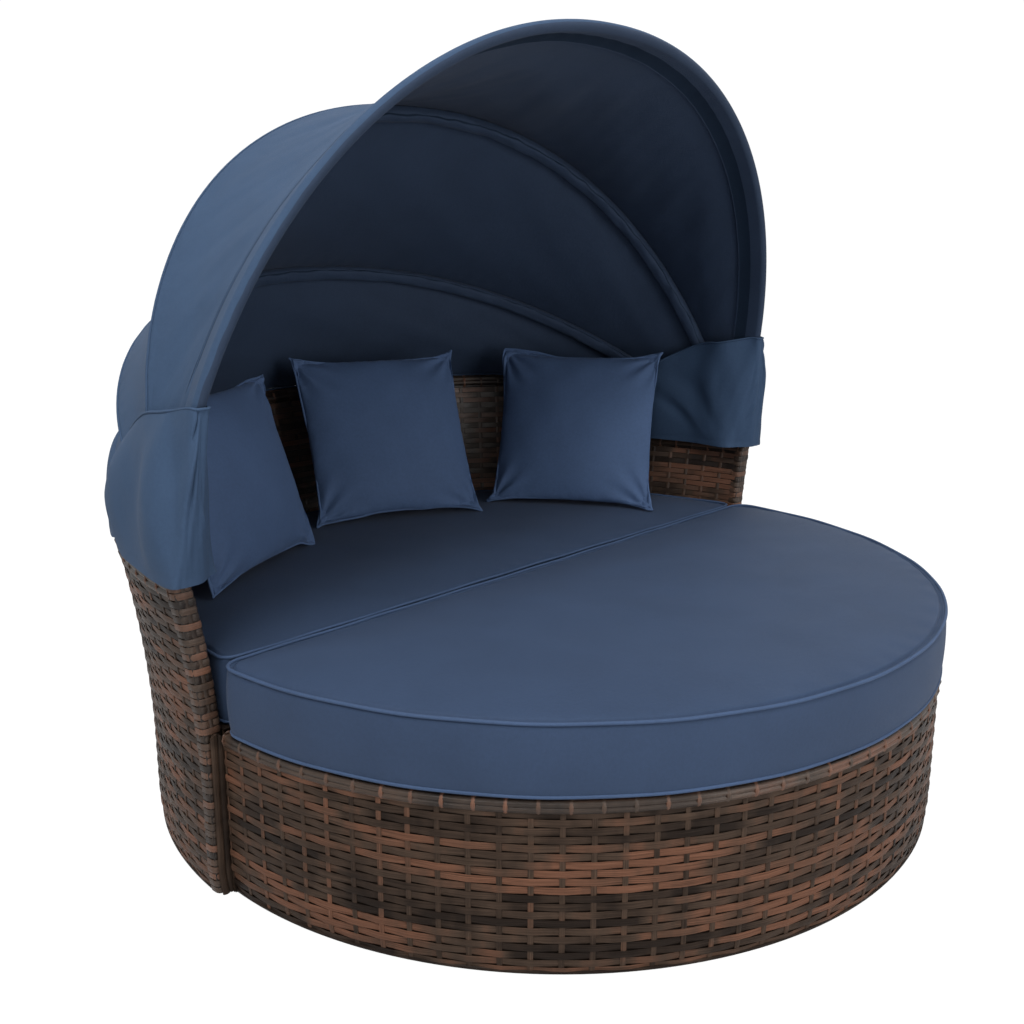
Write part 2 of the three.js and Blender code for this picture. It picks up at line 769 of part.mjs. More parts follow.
const cushionArcDivisions = 30;
const cushionCornerDivisions = 3;
const cushionCentreY = cushionCentreShare * cushionRadius;
const sofaCushionRadius = wallRadius(baseTopHeight) - wallThickness - sofaCushionWallGap;
const sofaCushionOutline = halfRoundOutline(
  sofaCushionRadius, sofaFrontY, cushionCornerRadius, cushionArcDivisions, cushionCornerDivisions,
);
addPart('sofa_seat_cushion', seatCushion(sofaCushionOutline, cushionCentreY), 'cushion');

const ottomanCushionOutline = halfRoundOutline(
  cushionRadius, -ottomanBackY, cushionCornerRadius, cushionArcDivisions, cushionCornerDivisions,
).map((point) => new THREE.Vector2(point.x, -point.y)).reverse();
addPart('ottoman_seat_cushion', seatCushion(ottomanCushionOutline, -cushionCentreY), 'cushion');

// The height of the sofa cushion's crown over one place of the plan.
function seatTopAt(x, y) {
  const toPlace = new THREE.Vector2(x, y - cushionCentreY);
  const heading = toPlace.angle();
  let edge = sofaCushionRadius;
  for (let i = 0; i < sofaCushionOutline.length; i += 1) {
    const a = sofaCushionOutline[i];
    const b = sofaCushionOutline[(i + 1) % sofaCushionOutline.length];
    const from = new THREE.Vector2(a.x, a.y - cushionCentreY);
    const to = new THREE.Vector2(b.x, b.y - cushionCentreY);
    const ray = new THREE.Vector2(Math.cos(heading), Math.sin(heading));
    const run = to.clone().sub(from);
    const cross = ray.cross(run);
    const alongRay = from.cross(run) / cross;
    const alongEdge = from.cross(ray) / cross;
    if (alongRay > 0 && alongEdge >= 0 && alongEdge <= 1) {
      edge = alongRay - cushionBorderBulge;
    }
  }
  const share = Math.min(1, toPlace.length() / edge);
  return cushionSeamHeight + cushionCrown * crownShare(share);
}

// Throw pillows: square, with pointed corners, drawn-in sides and two crowned faces

const pillowSteps = 10;
const pillowPlumpPower = 0.42;

function pillowSolid() {
  const half = pillowSize / 2;
  const thicknessAt = (a, b) => {
    const plump = Math.max(0, (1 - a ** 2) * (1 - b ** 2));
    return pillowThickness / 2 * plump ** pillowPlumpPower;
  };
  const place = (a, b, face) => new THREE.Vector3(
    half * a * (1 - pillowSideDrawShare * (1 - b ** 2)),
    face * thicknessAt(a, b),
    half + half * b * (1 - pillowSideDrawShare * (1 - a ** 2)),
  );
  const spread = (share) => Math.sin(Math.PI * (share - 0.5));
  const face = (sign) => (u, v) => place(spread(u), spread(v), sign);
  return closedBody(shellBetween(face(1), face(-1), pillowSteps, pillowSteps));
}

// Drops the triangles that the shared rim of the two faces leaves without area.
function withoutSlivers(geometry) {
  const index = geometry.index.array;
  const kept = [];
  for (let i = 0; i < index.length; i += 3) {
    const [a, b, c] = [index[i], index[i + 1], index[i + 2]];
    if (a !== b && b !== c && a !== c) {
      kept.push(a, b, c);
    }
  }
  geometry.setIndex(kept);
  return geometry;
}

for (const [place, [shareX, shareY]] of Object.entries(pillowPlaceShares)) {
  const body = withoutSlivers(pillowSolid());
  body.rotateX(-THREE.MathUtils.degToRad(pillowLeans[place]));
  body.rotateZ(THREE.MathUtils.degToRad(pillowTurns[place]));
  body.translate(shareX * cushionRadius, shareY * cushionRadius, 0);
  const position = body.attributes.position;
  let lift = 0;
  for (let i = 0; i < position.count; i += 1) {
    const needed = seatTopAt(position.getX(i), position.getY(i)) + pillowSeatGap - position.getZ(i);
    lift = Math.max(lift, needed);
  }
  body.translate(0, 0, lift);
  addPart(`throw_pillow_${place}`, body, 'cushion');
}

// Canopy hoops

const frontHoopHalfWidth = wallRadius(armHeight) - hoopArmInset;

const hoops = {
  front: {
    halfWidth: frontHoopHalfWidth, rise: frontHoopRise, tilt: frontHoopTilt, fullness: frontHoopFullness,
  },
  middle: {
    halfWidth: frontHoopHalfWidth - hubSpacing,
    rise: middleHoopRise,
    tilt: middleHoopTilt,
    fullness: middleHoopFullness,
  },
  rear: {
    halfWidth: frontHoopHalfWidth - 2 * hubSpacing,
    rise: rearHoopRise,
    tilt: rearHoopTilt,
    fullness: rearHoopFullness,
  },
};

// The frame of a hoop at its parameter: the tube's centre, the way out, and the way forward.
function hoopFrame(hoop, angle) {
  const { halfWidth, rise, tilt, fullness } = hoop;
  const power = 2 / fullness;
  const x = halfWidth * Math.sign(Math.cos(angle)) * Math.abs(Math.cos(angle)) ** power;
  const height = rise * Math.abs(Math.sin(angle)) ** power;
  const slopeX = Math.sign(x) * Math.abs(x / halfWidth) ** (fullness - 1) / halfWidth;
  const slopeHeight = Math.abs(height / rise) ** (fullness - 1) / rise;
  const up = new THREE.Vector3(0, -Math.sin(tilt), Math.cos(tilt));
  const forward = new THREE.Vector3(0, -Math.cos(tilt), -Math.sin(tilt));
  const outward = new THREE.Vector3(slopeX, 0, 0).addScaledVector(up, slopeHeight).normalize();
  const centre = new THREE.Vector3(x, pivotPlaceY, pivotHeight).addScaledVector(up, height);
  return { centre, outward, forward };
}

// The hoop parameter at which the leg is at a height above the pivot, measured in the hoop's plane.
function legAngle(hoop, height) {
  return Math.asin((height / hoop.rise) ** (hoop.fullness / 2));
}

function alongHoop(hoop, share) {
  const foot = legAngle(hoop, panelFootHeight);
  return hoopFrame(hoop, THREE.MathUtils.lerp(foot, Math.PI - foot, share));
}

function hoopRing(frame) {
  return { centre: frame.centre, outward: frame.outward, upward: frame.forward };
}

function hoopSolid(hoop) {
  const foot = legAngle(hoop, hubRadius / 2);
  const rings = [hoopRing(hoopFrame(hoop, foot))];
  for (let i = 0; i <= canopySteps; i += 1) {
    rings.push(hoopRing(alongHoop(hoop, i / canopySteps)));
  }
  rings.push(hoopRing(hoopFrame(hoop, Math.PI - foot)));
  let solid = toSolid(ringTube(rings, hoopTubeRadius));
  const hubLength = hubSpacing - hubSideGap;
  for (const sign of Object.values(sides)) {
    const hub = new THREE.CylinderGeometry(hubRadius, hubRadius, hubLength, hubSides);
    const bore = new THREE.CylinderGeometry(
      boltRadius + boltClearance, boltRadius + boltClearance, 2 * hubSpacing, hubSides,
    );
    for (const piece of [hub, bore]) {
      piece.rotateZ(Math.PI / 2);
      piece.translate(sign * hoop.halfWidth, pivotPlaceY, pivotHeight);
    }
    solid = solid.add(toSolid(hub)).subtract(toSolid(bore));
  }
  return fromSolid(solid);
}
for (const [place, hoop] of Object.entries(hoops)) {
  addPart(`canopy_hoop_${place}`, hoopSolid(hoop), 'steel');
}

const outerEarX = frontHoopHalfWidth + hubSpacing / 2;
const innerEarX = frontHoopHalfWidth - 2.5 * hubSpacing;
const bracketBaseHeight = armHeight + seatGap;
const earTopHeight = pivotHeight + earHalfWidth;

// A clevis of two upright ears on a base plate, drawn in the Y-Z plane.
function bracket() {
  const earProfile = new THREE.Shape();
  earProfile.moveTo(-earHalfWidth, bracketBaseHeight - pivotHeight);
  earProfile.lineTo(earHalfWidth, bracketBaseHeight - pivotHeight);
  earProfile.lineTo(earHalfWidth, 0);
  earProfile.absarc(0, 0, earHalfWidth, 0, Math.PI, false);
  const hole = new THREE.Path();
  hole.absarc(0, 0, boltRadius + boltClearance, 0, 2 * Math.PI, true);
  earProfile.holes.push(hole);
  const ear = (innerFaceX) => {
    const options = { depth: earThickness, bevelEnabled: false, curveSegments: hubSides / 2 };
    const plate = new THREE.ExtrudeGeometry(earProfile, options);
    plate.rotateX(Math.PI / 2);
    plate.rotateZ(Math.PI / 2);
    plate.translate(innerFaceX, pivotPlaceY, pivotHeight);
    return toSolid(plate);
  };
  const baseLength = outerEarX - innerEarX + 2 * earThickness;
  const base = new THREE.BoxGeometry(baseLength, 2 * earHalfWidth, bracketBaseThickness);
  base.translate((outerEarX + innerEarX) / 2, pivotPlaceY, bracketBaseHeight + bracketBaseThickness / 2);
  return fromSolid(ear(outerEarX).add(ear(innerEarX - earThickness)).add(toSolid(base)));
}

function pivotBolt() {
  const reach = outerEarX - innerEarX + 2 * earThickness + nutLength + boltTip + seatGap;
  const shankLength = reach + boltHeadLength / 2;
  const shank = new THREE.CylinderGeometry(boltRadius, boltRadius, shankLength, hubSides);
  shank.rotateZ(Math.PI / 2);
  const faceX = outerEarX + earThickness + seatGap;
  shank.translate(faceX - reach + shankLength / 2, 0, 0);
  const head = new THREE.CylinderGeometry(boltHeadRadius, boltHeadRadius, boltHeadLength, hexSides);
  head.rotateZ(Math.PI / 2);
  head.translate(faceX + boltHeadLength / 2, 0, 0);
  return fromSolid(toSolid(shank).add(toSolid(head)));
}

function pivotNut() {
  const face = new THREE.Shape(polygonPoints(boltHeadRadius, hexSides));
  face.holes.push(new THREE.Path(polygonPoints(boltRadius + boltClearance, hubSides).reverse()));
  const nut = new THREE.ExtrudeGeometry(face, { depth: nutLength, bevelEnabled: false });
  nut.rotateY(-Math.PI / 2);
  nut.translate(innerEarX - earThickness - seatGap, 0, 0);
  return nut;
}
for (const [side, sign] of Object.entries(sides)) {
  const plate = bracket();
  plate.scale(sign, 1, 1);
  addPart(`canopy_bracket_${side}`, plate, 'steel');
  const bolt = pivotBolt();
  bolt.scale(sign, 1, 1);
  addPart(`canopy_pivot_bolt_${side}`, bolt, 'zinc', [0, pivotPlaceY, pivotHeight]);
  const nut = pivotNut();
  nut.scale(sign, 1, 1);
  addPart(`canopy_pivot_nut_${side}`, nut, 'zinc', [0, pivotPlaceY, pivotHeight]);
}

// Cloth sleeves sewn round the middle and rear hoops

const sleeveBore = hoopTubeRadius + clothGap;
const sleeveRadius = sleeveBore + sleeveThickness;
const sleeveFootSteps = { middle: 3, rear: 5 };
for (const [place, footSteps] of Object.entries(sleeveFootSteps)) {
  const rings = [];
  for (let i = footSteps; i <= canopySteps - footSteps; i += 1) {
    rings.push(hoopRing(alongHoop(hoops[place], i / canopySteps)));
  }
  const sleeve = ringTube(rings, sleeveRadius, tubeSides, sleeveBore, tubeSides);
  addPart(`canopy_sleeve_${place}`, sleeve, 'canopy');
}

// Canopy panels

const hoopCover = {
  front: hoopTubeRadius + clothGap,
  middle: sleeveRadius + clothGap,
  rear: sleeveRadius + clothGap,
};

// The cloth's inner face over a hoop, at a turn round the tube from the way out towards the front.
function coverPoint(place, along, turn) {
  const { centre, outward, forward } = alongHoop(hoops[place], along);
  return centre.clone()
    .addScaledVector(outward, hoopCover[place] * Math.cos(turn))
    .addScaledVector(forward, hoopCover[place] * Math.sin(turn));
}

// The turn round a hoop at which cloth stretched to a target leaves the tube.
function leavingTurn(place, along, target) {
  const { centre, outward, forward } = alongHoop(hoops[place], along);
  const way = target.clone().sub(centre);
  const [out, fore] = [way.dot(outward), way.dot(forward)];
  const opening = Math.acos(Math.min(1, hoopCover[place] / Math.hypot(out, fore)));
  return Math.atan2(fore, out) - Math.sign(fore) * opening;
}

const swellPower = 0.6;

// One panel point between two edges, let down towards the inside by its sag and soft folds.
function sagPoint(fromEdge, toEdge, inward, share, sag, along) {
  const swell = Math.sin(Math.PI * along) ** swellPower;
  const folds = panelFoldDepth * Math.sin(2 * Math.PI * panelFoldCount * along) * share * (1 - share);
  const drop = 4 * share * (1 - share) * sag * swell + folds;
  return fromEdge.clone().lerp(toEdge, share).addScaledVector(inward, drop);
}

const panelShares = [0.13, 0.3, 0.5, 0.7, 0.87];

// A point of the cloth between the middles of two hoops' outsides, pushed towards the inside.
function stretchPoint(fromPlace, toPlace, sag, share, along, push = 0) {
  const first = alongHoop(hoops[fromPlace], along).outward;
  const second = alongHoop(hoops[toPlace], along).outward;
  const inward = first.clone().add(second).normalize().negate();
  const [from, to] = [coverPoint(fromPlace, along, 0), coverPoint(toPlace, along, 0)];
  return sagPoint(from, to, inward, share, sag, along).addScaledVector(inward, push);
}

function freeStretch(fromPlace, toPlace, sag) {
  return panelShares.map((share) => (along) => stretchPoint(fromPlace, toPlace, sag, share, along));
}

const seamTurn = clothGap / hoopTubeRadius;
const frontStretch = freeStretch('front', 'middle', frontPanelSag);
const middleStretch = freeStretch('middle', 'rear', middlePanelSag);

const rearPanelStartAngle = THREE.MathUtils.degToRad(10);
const ridgeLift = clothGap + 2 * clothThickness;

// The line along the wall's top edge that the rear panel comes down to.
function ridgePoint(along) {
  const angle = THREE.MathUtils.lerp(rearPanelStartAngle, Math.PI - rearPanelStartAngle, along);
  const height = wallTop(angle) + ridgeLift;
  return polar(wallRadius(wallTop(angle)) - rollRadius, angle, height);
}
const rearStretch = [...panelShares, 1].map((share) => (along) => {
  const inward = alongHoop(hoops.rear, along).outward.clone().negate();
  return sagPoint(coverPoint('rear', along, 0), ridgePoint(along), inward, share, rearPanelSag, along);
});

// The two sides of a seam over a hoop: where cloth comes on from the front and goes off to the back.
function seamTurns(place, before, after, along) {
  const coming = leavingTurn(place, along, before(along));
  const going = leavingTurn(place, along, after(along));
  const middle = (coming + going) / 2;
  return {
    coming: Math.max(coming, middle + 2 * seamTurn),
    going: Math.min(going, middle - 2 * seamTurn),
    middle,
  };
}

function comingOn(place, before, after) {
  return [
    (along) => coverPoint(place, along, seamTurns(place, before, after, along).coming),
    (along) => coverPoint(place, along, seamTurns(place, before, after, along).middle + seamTurn),
  ];
}

function goingOff(place, before, after) {
  return [
    (along) => coverPoint(place, along, seamTurns(place, before, after, along).middle - seamTurn),
    (along) => coverPoint(place, along, seamTurns(place, before, after, along).going),
  ];
}

// The front panel goes round the front hoop and is sewn back to itself as a deep hem.
const hemLimitShare = 0.45;
const hemFlapEnd = (along) => {
  const width = coverPoint('front', along, 0).distanceTo(coverPoint('middle', along, 0));
  const share = Math.min(frontHemDepth / width, hemLimitShare);
  return stretchPoint('front', 'middle', frontPanelSag, share, along, frontHemGap + clothThickness);
};
const hemTurnSteps = 7;
const hemTurnStations = Array.from({ length: hemTurnSteps + 1 }, (_, i) => (along) => {
  const leaving = leavingTurn('front', along, frontStretch[0](along));
  const { centre, outward, forward } = alongHoop(hoops.front, along);
  const way = hemFlapEnd(along).sub(centre);
  const [out, fore] = [way.dot(outward), way.dot(forward)];
  const opening = Math.acos(Math.min(1, hoopCover.front / Math.hypot(out, fore)));
  const inner = 2 * Math.PI + Math.atan2(fore, out) - opening;
  return coverPoint('front', along, THREE.MathUtils.lerp(inner, leaving, i / hemTurnSteps));
});
const [frontLast, middleFirst] = [frontStretch.at(-1), middleStretch[0]];
const [middleLast, rearFirst] = [middleStretch.at(-1), rearStretch[0]];
addPart(
  'canopy_panel_front',
  sheetThrough(
    [hemFlapEnd, ...hemTurnStations, ...frontStretch, ...comingOn('middle', frontLast, middleFirst)],
    canopySteps,
    clothThickness,
  ),
  'canopy',
);
addPart(
  'canopy_panel_middle',
  sheetThrough(
    [
      ...goingOff('middle', frontLast, middleFirst),
      ...middleStretch,
      ...comingOn('rear', middleLast, rearFirst),
    ],
    canopySteps,
    clothThickness,
  ),
  'canopy',
);
addPart(
  'canopy_panel_rear',
  sheetThrough([...goingOff('rear', middleLast, rearFirst), ...rearStretch], canopySteps, clothThickness),
  'canopy',
);

// Valance over the wall's top roll, between the two skirts

const valanceRings = rollRings.slice(valanceEndSteps, rollRings.length - valanceEndSteps);

function valanceStation(turn, drop) {
  return (along) => {
    const { centre, outward, upward } = valanceRings[Math.round(along * (valanceRings.length - 1))];
    const reach = acrossFlats(rollRadius + valanceGap);
    return centre.clone()
      .addScaledVector(outward, reach * Math.cos(turn))
      .addScaledVector(upward, reach * Math.sin(turn) - drop);
  };
}

// The cloth lies on the flats of the roll, so it turns where the roll's section does.
const rollTurns = polygonPoints(1, tubeSides).slice(0, tubeSides / 2).map((point) => point.angle());
const valanceStations = [
  valanceStation(Math.PI, valanceFlap),
  ...rollTurns.reverse().map((turn) => valanceStation(turn, 0)),
  valanceStation(0, valanceFlap),
];
const valanceSteps = valanceRings.length - 1;
addPart('canopy_valance', sheetThrough(valanceStations, valanceSteps, clothThickness), 'canopy');

// Skirts: each a double flap that slips over an arm's end, open at the top and the bottom

function legCentre(place, height) {
  const hoop = hoops[place];
  return hoopFrame(hoop, legAngle(hoop, (height - pivotHeight) / Math.cos(hoop.tilt))).centre;
}

function moved(point, outwardMove, forwardMove = 0) {
  const outward = new THREE.Vector3(point.x, point.y, 0).normalize();
  return point.clone().addScaledVector(outward, outwardMove).add(new THREE.Vector3(0, -forwardMove, 0));
}

const skirtSteps = 24;
const skirtHeightSteps = 6;
const sleeveReach = sleeveRadius + clothGap + clothThickness;
const hemTurnReach = hoopCover.front + clothThickness + skirtOuterClearance;
const cornerShare = 0.8;
const outerEndShare = 0.45;
const innerEndShare = 0.8;
const outerHemShares = [1, 0.7, 0.35];
const innerHemShares = [0.6, 1];
const skirtFoldCount = 5;
const skirtFoldSlant = 0.8;
const skirtSwellPower = 0.8;

function skirtCurves() {
  const front = legCentre('front', skirtFrontSeamHeight);
  const middle = legCentre('middle', skirtFrontSeamHeight - skirtMiddleSeamDrop);
  const rear = legCentre('rear', skirtFrontSeamHeight - skirtBackSeamDrop);
  const betweenFront = front.clone().lerp(middle, 0.5);
  const outerEnd = middle.clone().lerp(rear, outerEndShare);
  const innerEnd = middle.clone().lerp(rear, innerEndShare);
  const outer = sleeveReach + skirtOuterClearance;
  const inner = -sleeveReach - skirtOuterClearance;
  const top = [
    moved(outerEnd, outer),
    moved(middle, outer),
    moved(betweenFront, outer),
    moved(front, hemTurnReach, -hubRadius),
    moved(front, cornerShare * hemTurnReach, cornerShare * hemTurnReach),
    moved(front, 0, hemTurnReach),
    moved(front, -cornerShare * hemTurnReach, cornerShare * hemTurnReach),
    moved(front, -hemTurnReach, -hubRadius),
    moved(betweenFront, inner - frontPanelSag / 2),
    moved(middle, inner),
    moved(innerEnd, inner),
  ];
  const outerHemRadius = wallRadius(armHeight) + skirtWallClearance;
  const innerHemRadius = wallRadius(armHeight) - wallThickness - skirtWallClearance;
  const nutFaceX = innerEarX - earThickness - nutLength - boltTip - skirtPivotClearance - clothThickness;
  const frontFaceY = front.y - hemTurnReach - skirtPivotClearance;
  const hem = [
    ...outerHemShares.map((share) => polar(outerHemRadius, share * skirtOuterEndAngle, skirtHemHeight)),
    new THREE.Vector3(outerHemRadius - earThickness, sofaFrontY - bindingThickness, skirtHemHeight),
    new THREE.Vector3(outerHemRadius - 2 * hubRadius, frontFaceY + earThickness, skirtHemHeight),
    new THREE.Vector3((outerEarX + innerEarX) / 2, frontFaceY, skirtHemHeight),
    new THREE.Vector3(nutFaceX + hubRadius, frontFaceY + earThickness, skirtHemHeight),
    new THREE.Vector3(nutFaceX, sofaFrontY - bindingThickness, skirtHemHeight),
    new THREE.Vector3(nutFaceX, pivotPlaceY + boltHeadRadius, skirtHemHeight),
    ...innerHemShares.map((share, i) => (
      polar(innerHemRadius - (2 - i) * hubRadius, share * skirtInnerEndAngle, skirtHemHeight)
    )),
  ];
  return { top: new THREE.CatmullRomCurve3(top), hem: new THREE.CatmullRomCurve3(hem) };
}

function skirtSolid() {
  const { top, hem } = skirtCurves();
  const pivot = new THREE.Vector3((outerEarX + innerEarX) / 2, pivotPlaceY, 0);
  const stations = [];
  for (let i = 0; i <= skirtSteps; i += 1) {
    const run = i / skirtSteps;
    stations.push((rise) => {
      const point = hem.getPoint(run).lerp(top.getPoint(run), rise);
      const flat = point.clone().setZ(0);
      const nearest = flat.y > pivot.y ? flat.clone().setLength(pivot.length()) : pivot;
      const away = flat.sub(nearest).normalize();
      const swell = Math.sin(Math.PI * rise) ** skirtSwellPower * skirtBulge;
      const wave = Math.sin(2 * Math.PI * (skirtFoldCount * run + skirtFoldSlant * rise));
      const folds = skirtFoldDepth * Math.sin(Math.PI * rise) * wave;
      return point.addScaledVector(away, swell + folds);
    });
  }
  return sheetThrough(stations, skirtHeightSteps, clothThickness);
}
for (const [side, sign] of Object.entries(sides)) {
  const skirt = skirtSolid();
  skirt.scale(sign, 1, 1);
  addPart(`canopy_skirt_${side}`, skirt, 'canopy');
}

// The frame's origin is on the floor under the middle of the part's bounding box.
const bounds = new THREE.Box3().setFromObject(daybed);
daybed.position.y = -(bounds.min.y + bounds.max.y) / 2;

export default daybed;
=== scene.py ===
"""Looks of a round outdoor daybed with a folding canopy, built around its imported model.

Everything is in metres, +Z up. The sofa half stands behind (+Y), the ottoman half in front.
"""

import json
import math

import bpy
import numpy as np
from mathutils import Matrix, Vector


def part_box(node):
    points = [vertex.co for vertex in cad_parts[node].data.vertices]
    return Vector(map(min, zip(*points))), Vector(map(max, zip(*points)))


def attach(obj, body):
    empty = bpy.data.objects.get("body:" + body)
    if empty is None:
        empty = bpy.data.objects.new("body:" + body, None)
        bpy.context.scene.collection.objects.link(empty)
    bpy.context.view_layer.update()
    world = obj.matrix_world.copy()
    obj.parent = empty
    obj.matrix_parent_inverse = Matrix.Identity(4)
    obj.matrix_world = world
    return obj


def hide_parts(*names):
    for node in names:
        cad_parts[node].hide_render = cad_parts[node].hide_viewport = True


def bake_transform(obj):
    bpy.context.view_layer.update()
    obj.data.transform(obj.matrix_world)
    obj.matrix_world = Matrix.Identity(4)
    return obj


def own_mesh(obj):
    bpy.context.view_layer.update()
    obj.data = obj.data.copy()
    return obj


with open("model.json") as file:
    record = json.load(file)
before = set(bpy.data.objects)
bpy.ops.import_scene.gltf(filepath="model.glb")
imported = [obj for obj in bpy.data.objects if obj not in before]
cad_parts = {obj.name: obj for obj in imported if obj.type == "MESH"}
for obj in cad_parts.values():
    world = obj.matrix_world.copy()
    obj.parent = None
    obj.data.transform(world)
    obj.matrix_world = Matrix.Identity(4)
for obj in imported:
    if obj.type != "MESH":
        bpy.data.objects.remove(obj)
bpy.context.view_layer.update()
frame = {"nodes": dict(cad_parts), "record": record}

bl_info = {
    "name": "Round Daybed Looks",
    "version": (1, 0, 0),
    "blender": (4, 5, 0),
    "location": "View3D > Sidebar > Daybed",
    "description": "Dresses the packed model of a round outdoor daybed with cloth, cushions and wicker",
    "category": "Object",
}

# Places: the canopy's pivot is taken from the imported model, the rest are given
BOLT_LOW, BOLT_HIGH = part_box("canopy_pivot_bolt_left")
PIVOT_Y = (BOLT_LOW.y + BOLT_HIGH.y) / 2
PIVOT_Z = (BOLT_LOW.z + BOLT_HIGH.z) / 2
PIVOT_BEHIND = 0.077
PLAN_Y = PIVOT_Y - PIVOT_BEHIND
SOFA_FRONT = 0.0415
OTTOMAN_BACK = 0.0335

# Heights
FOOT = 0.002
WEAVE_FOOT = FOOT + 0.001
BASE_TOP = 0.286
SEAM_HEIGHT = 0.398
ARM_HEIGHT = 0.546
BACK_HEIGHT = 0.690

# The sofa half's wall tucks in at the foot and leans out above its bend; its top rises between two turns
WALL_FOOT_RADIUS = 0.772
WALL_BEND = 0.188
WALL_LEAN = 0.022
WALL_SWEEP = 3.730
TUCK, TUCK_HEIGHT = 0.006, 0.060
RISE_START, RISE_END = math.radians(20), math.radians(52)
WALL_THICK = 0.0386
ROLL_RADIUS = WALL_THICK / 2
WALL_START = 0.0538
WALL_END_TURN = math.asin(WALL_START / 0.80)
WEAVE_BELOW_TOP = 0.030
WEAVE_THICK = 0.006

# The ottoman half and the cushions
OTTOMAN_RADIUS = 0.746
RIM_RADIUS = 0.014
SOFA_CUSHION_RADIUS = 0.732
CUSHION_RADIUS = 0.750
CUSHION_CENTRE = 0.2625

# Hoops: half width, rise, tilt from upright towards the front, and fullness of the arch
FRONT_HALF_WIDTH = 0.790
HUB_SPACING = 0.020
PANEL_FOOT = 0.060
HOOPS = {
    "front": (FRONT_HALF_WIDTH, 0.854, math.radians(14.4), 2.131),
    "middle": (FRONT_HALF_WIDTH - HUB_SPACING, 0.775, math.radians(-21.5), 2.18),
    "rear": (FRONT_HALF_WIDTH - 2 * HUB_SPACING, 0.749, math.radians(-57.9), 2.15),
}
COVER = {"front": 0.0088, "middle": 0.0136, "rear": 0.0136}
SIDES = {"left": -1, "right": 1}
UP = np.array([0, 0, 1.0])


# Settings that a user would change


def in_metres(name, description, default):
    return bpy.props.FloatProperty(name=name, description=description, default=default, unit="LENGTH")


def as_colour(name, description, default):
    return bpy.props.FloatVectorProperty(
        name=name, description=description, default=default, subtype="COLOR"
    )


def in_watts(name, description, default):
    return bpy.props.FloatProperty(name=name, description=description, default=default, unit="POWER")


class DaybedSizes(bpy.types.PropertyGroup):
    """Sizes of the cloth, the padding and the weave."""

    strand_width: in_metres("Strand width", "Width of a flat wicker strand", 0.0119)
    strand_pitch: in_metres("Row pitch", "Height of one woven row", 0.0127)
    stake_spacing: in_metres("Stake spacing", "Run between two upright stakes", 0.045)
    piping_radius: in_metres("Piping radius", "Radius of the piping on the cushions", 0.0028)
    cloth_thickness: in_metres("Cloth thickness", "Thickness of the canopy cloth", 0.0016)
    hem_depth: in_metres("Hem depth", "Depth of the band along the canopy's front edge", 0.057)
    cushion_crown: in_metres("Cushion crown", "Rise of a seat cushion's top over its piping", 0.014)
    pillow_thickness: in_metres("Pillow thickness", "Thickness of a throw pillow", 0.138)


class DaybedColours(bpy.types.PropertyGroup):
    """Colours of the cloth, the wicker and the metal."""

    canopy: as_colour("Canopy cloth", "Colour of the canopy and its skirts", (0.046, 0.080, 0.144))
    cushion: as_colour("Cushion cloth", "Colour of the cushions and pillows", (0.037, 0.061, 0.116))
    strand_dark: as_colour("Dark strands", "Colour of the darkest wicker strands", (0.019, 0.013, 0.010))
    strand_grey: as_colour("Grey strands", "Colour of the greyish wicker strands", (0.063, 0.041, 0.029))
    strand_red: as_colour("Reddish strands", "Colour of the reddish wicker strands", (0.150, 0.070, 0.043))
    coat: as_colour("Powder coat", "Colour of the painted frame and hoops", (0.022, 0.017, 0.014))
    # The underside colour is the canopy colour made darker: painted shade for the inside of the canopy.
    underside: as_colour(
        "Canopy underside", "Colour of the coated inner face of the canopy", (0.029, 0.046, 0.083)
    )
    board: as_colour("Seat board", "Colour of the boards under the cushions", (0.090, 0.060, 0.040))


class DaybedStage(bpy.types.PropertyGroup):
    """Strengths of the lamps."""

    key_power: in_watts("Key lamp", "Power of the large lamp on the left", 156.0)
    top_power: in_watts("Top lamp", "Power of the soft lamp overhead", 24.0)
    fill_power: in_watts("Fill lamp", "Power of the lamp beside the camera", 62.0)
    ambient: bpy.props.FloatProperty(
        name="Ambient", description="Strength of the light from all round", default=0.27
    )


# Sums that several shapes share


def smooth_share(value, low, high):
    share = np.clip((value - low) / (high - low), 0, 1)
    return share * share * (3 - 2 * share)


def mix(a, b, share):
    return a + (b - a) * share


def hill(value, centre, width):
    return np.exp(-(((value - centre) / width) ** 2))


def signed_power(value, power):
    return np.sign(value) * np.abs(value) ** power


def unit(vectors):
    return vectors / np.maximum(np.linalg.norm(vectors, axis=-1, keepdims=True), 1e-12)


def stack(x, y, z):
    return np.stack(np.broadcast_arrays(x, y, z), axis=-1).astype(float)


def polar(radius, angle, height):
    """A place given by its radius and turn round the middle of the bed."""
    return stack(radius * np.cos(angle), radius * np.sin(angle) + PLAN_Y, height)


def round_about(centre, outward, over, turn, reach):
    """Places round a centre line, at a turn from its outward way and a reach from it."""
    return centre + outward * (np.cos(turn) * reach)[..., None] + over * (np.sin(turn) * reach)[..., None]


def ripple(x, y, seed):
    """Smooth waves with no regular beat, between about -1 and 1."""
    draws = np.random.RandomState(seed).uniform(0, 2 * math.pi, 8)
    total = np.sin(x + draws[0]) * np.sin(y * 0.8 + draws[1])
    total = total + 0.6 * np.sin(1.9 * x + 0.7 * y + draws[2]) * np.sin(1.6 * y - 0.4 * x + draws[3])
    total = total + 0.35 * np.sin(3.7 * x - 1.3 * y + draws[4]) * np.sin(2.9 * y + 0.9 * x + draws[5])
    return total / 1.5


# Selection, places and marks of a piece


def clear_selection():
    if bpy.context.object and bpy.context.object.mode != "OBJECT":
        bpy.ops.object.mode_set(mode="OBJECT")
    bpy.ops.object.select_all(action="DESELECT")


def pick(active, *others):
    clear_selection()
    for piece in (active, *others):
        piece.select_set(True)
    bpy.context.view_layer.objects.active = active


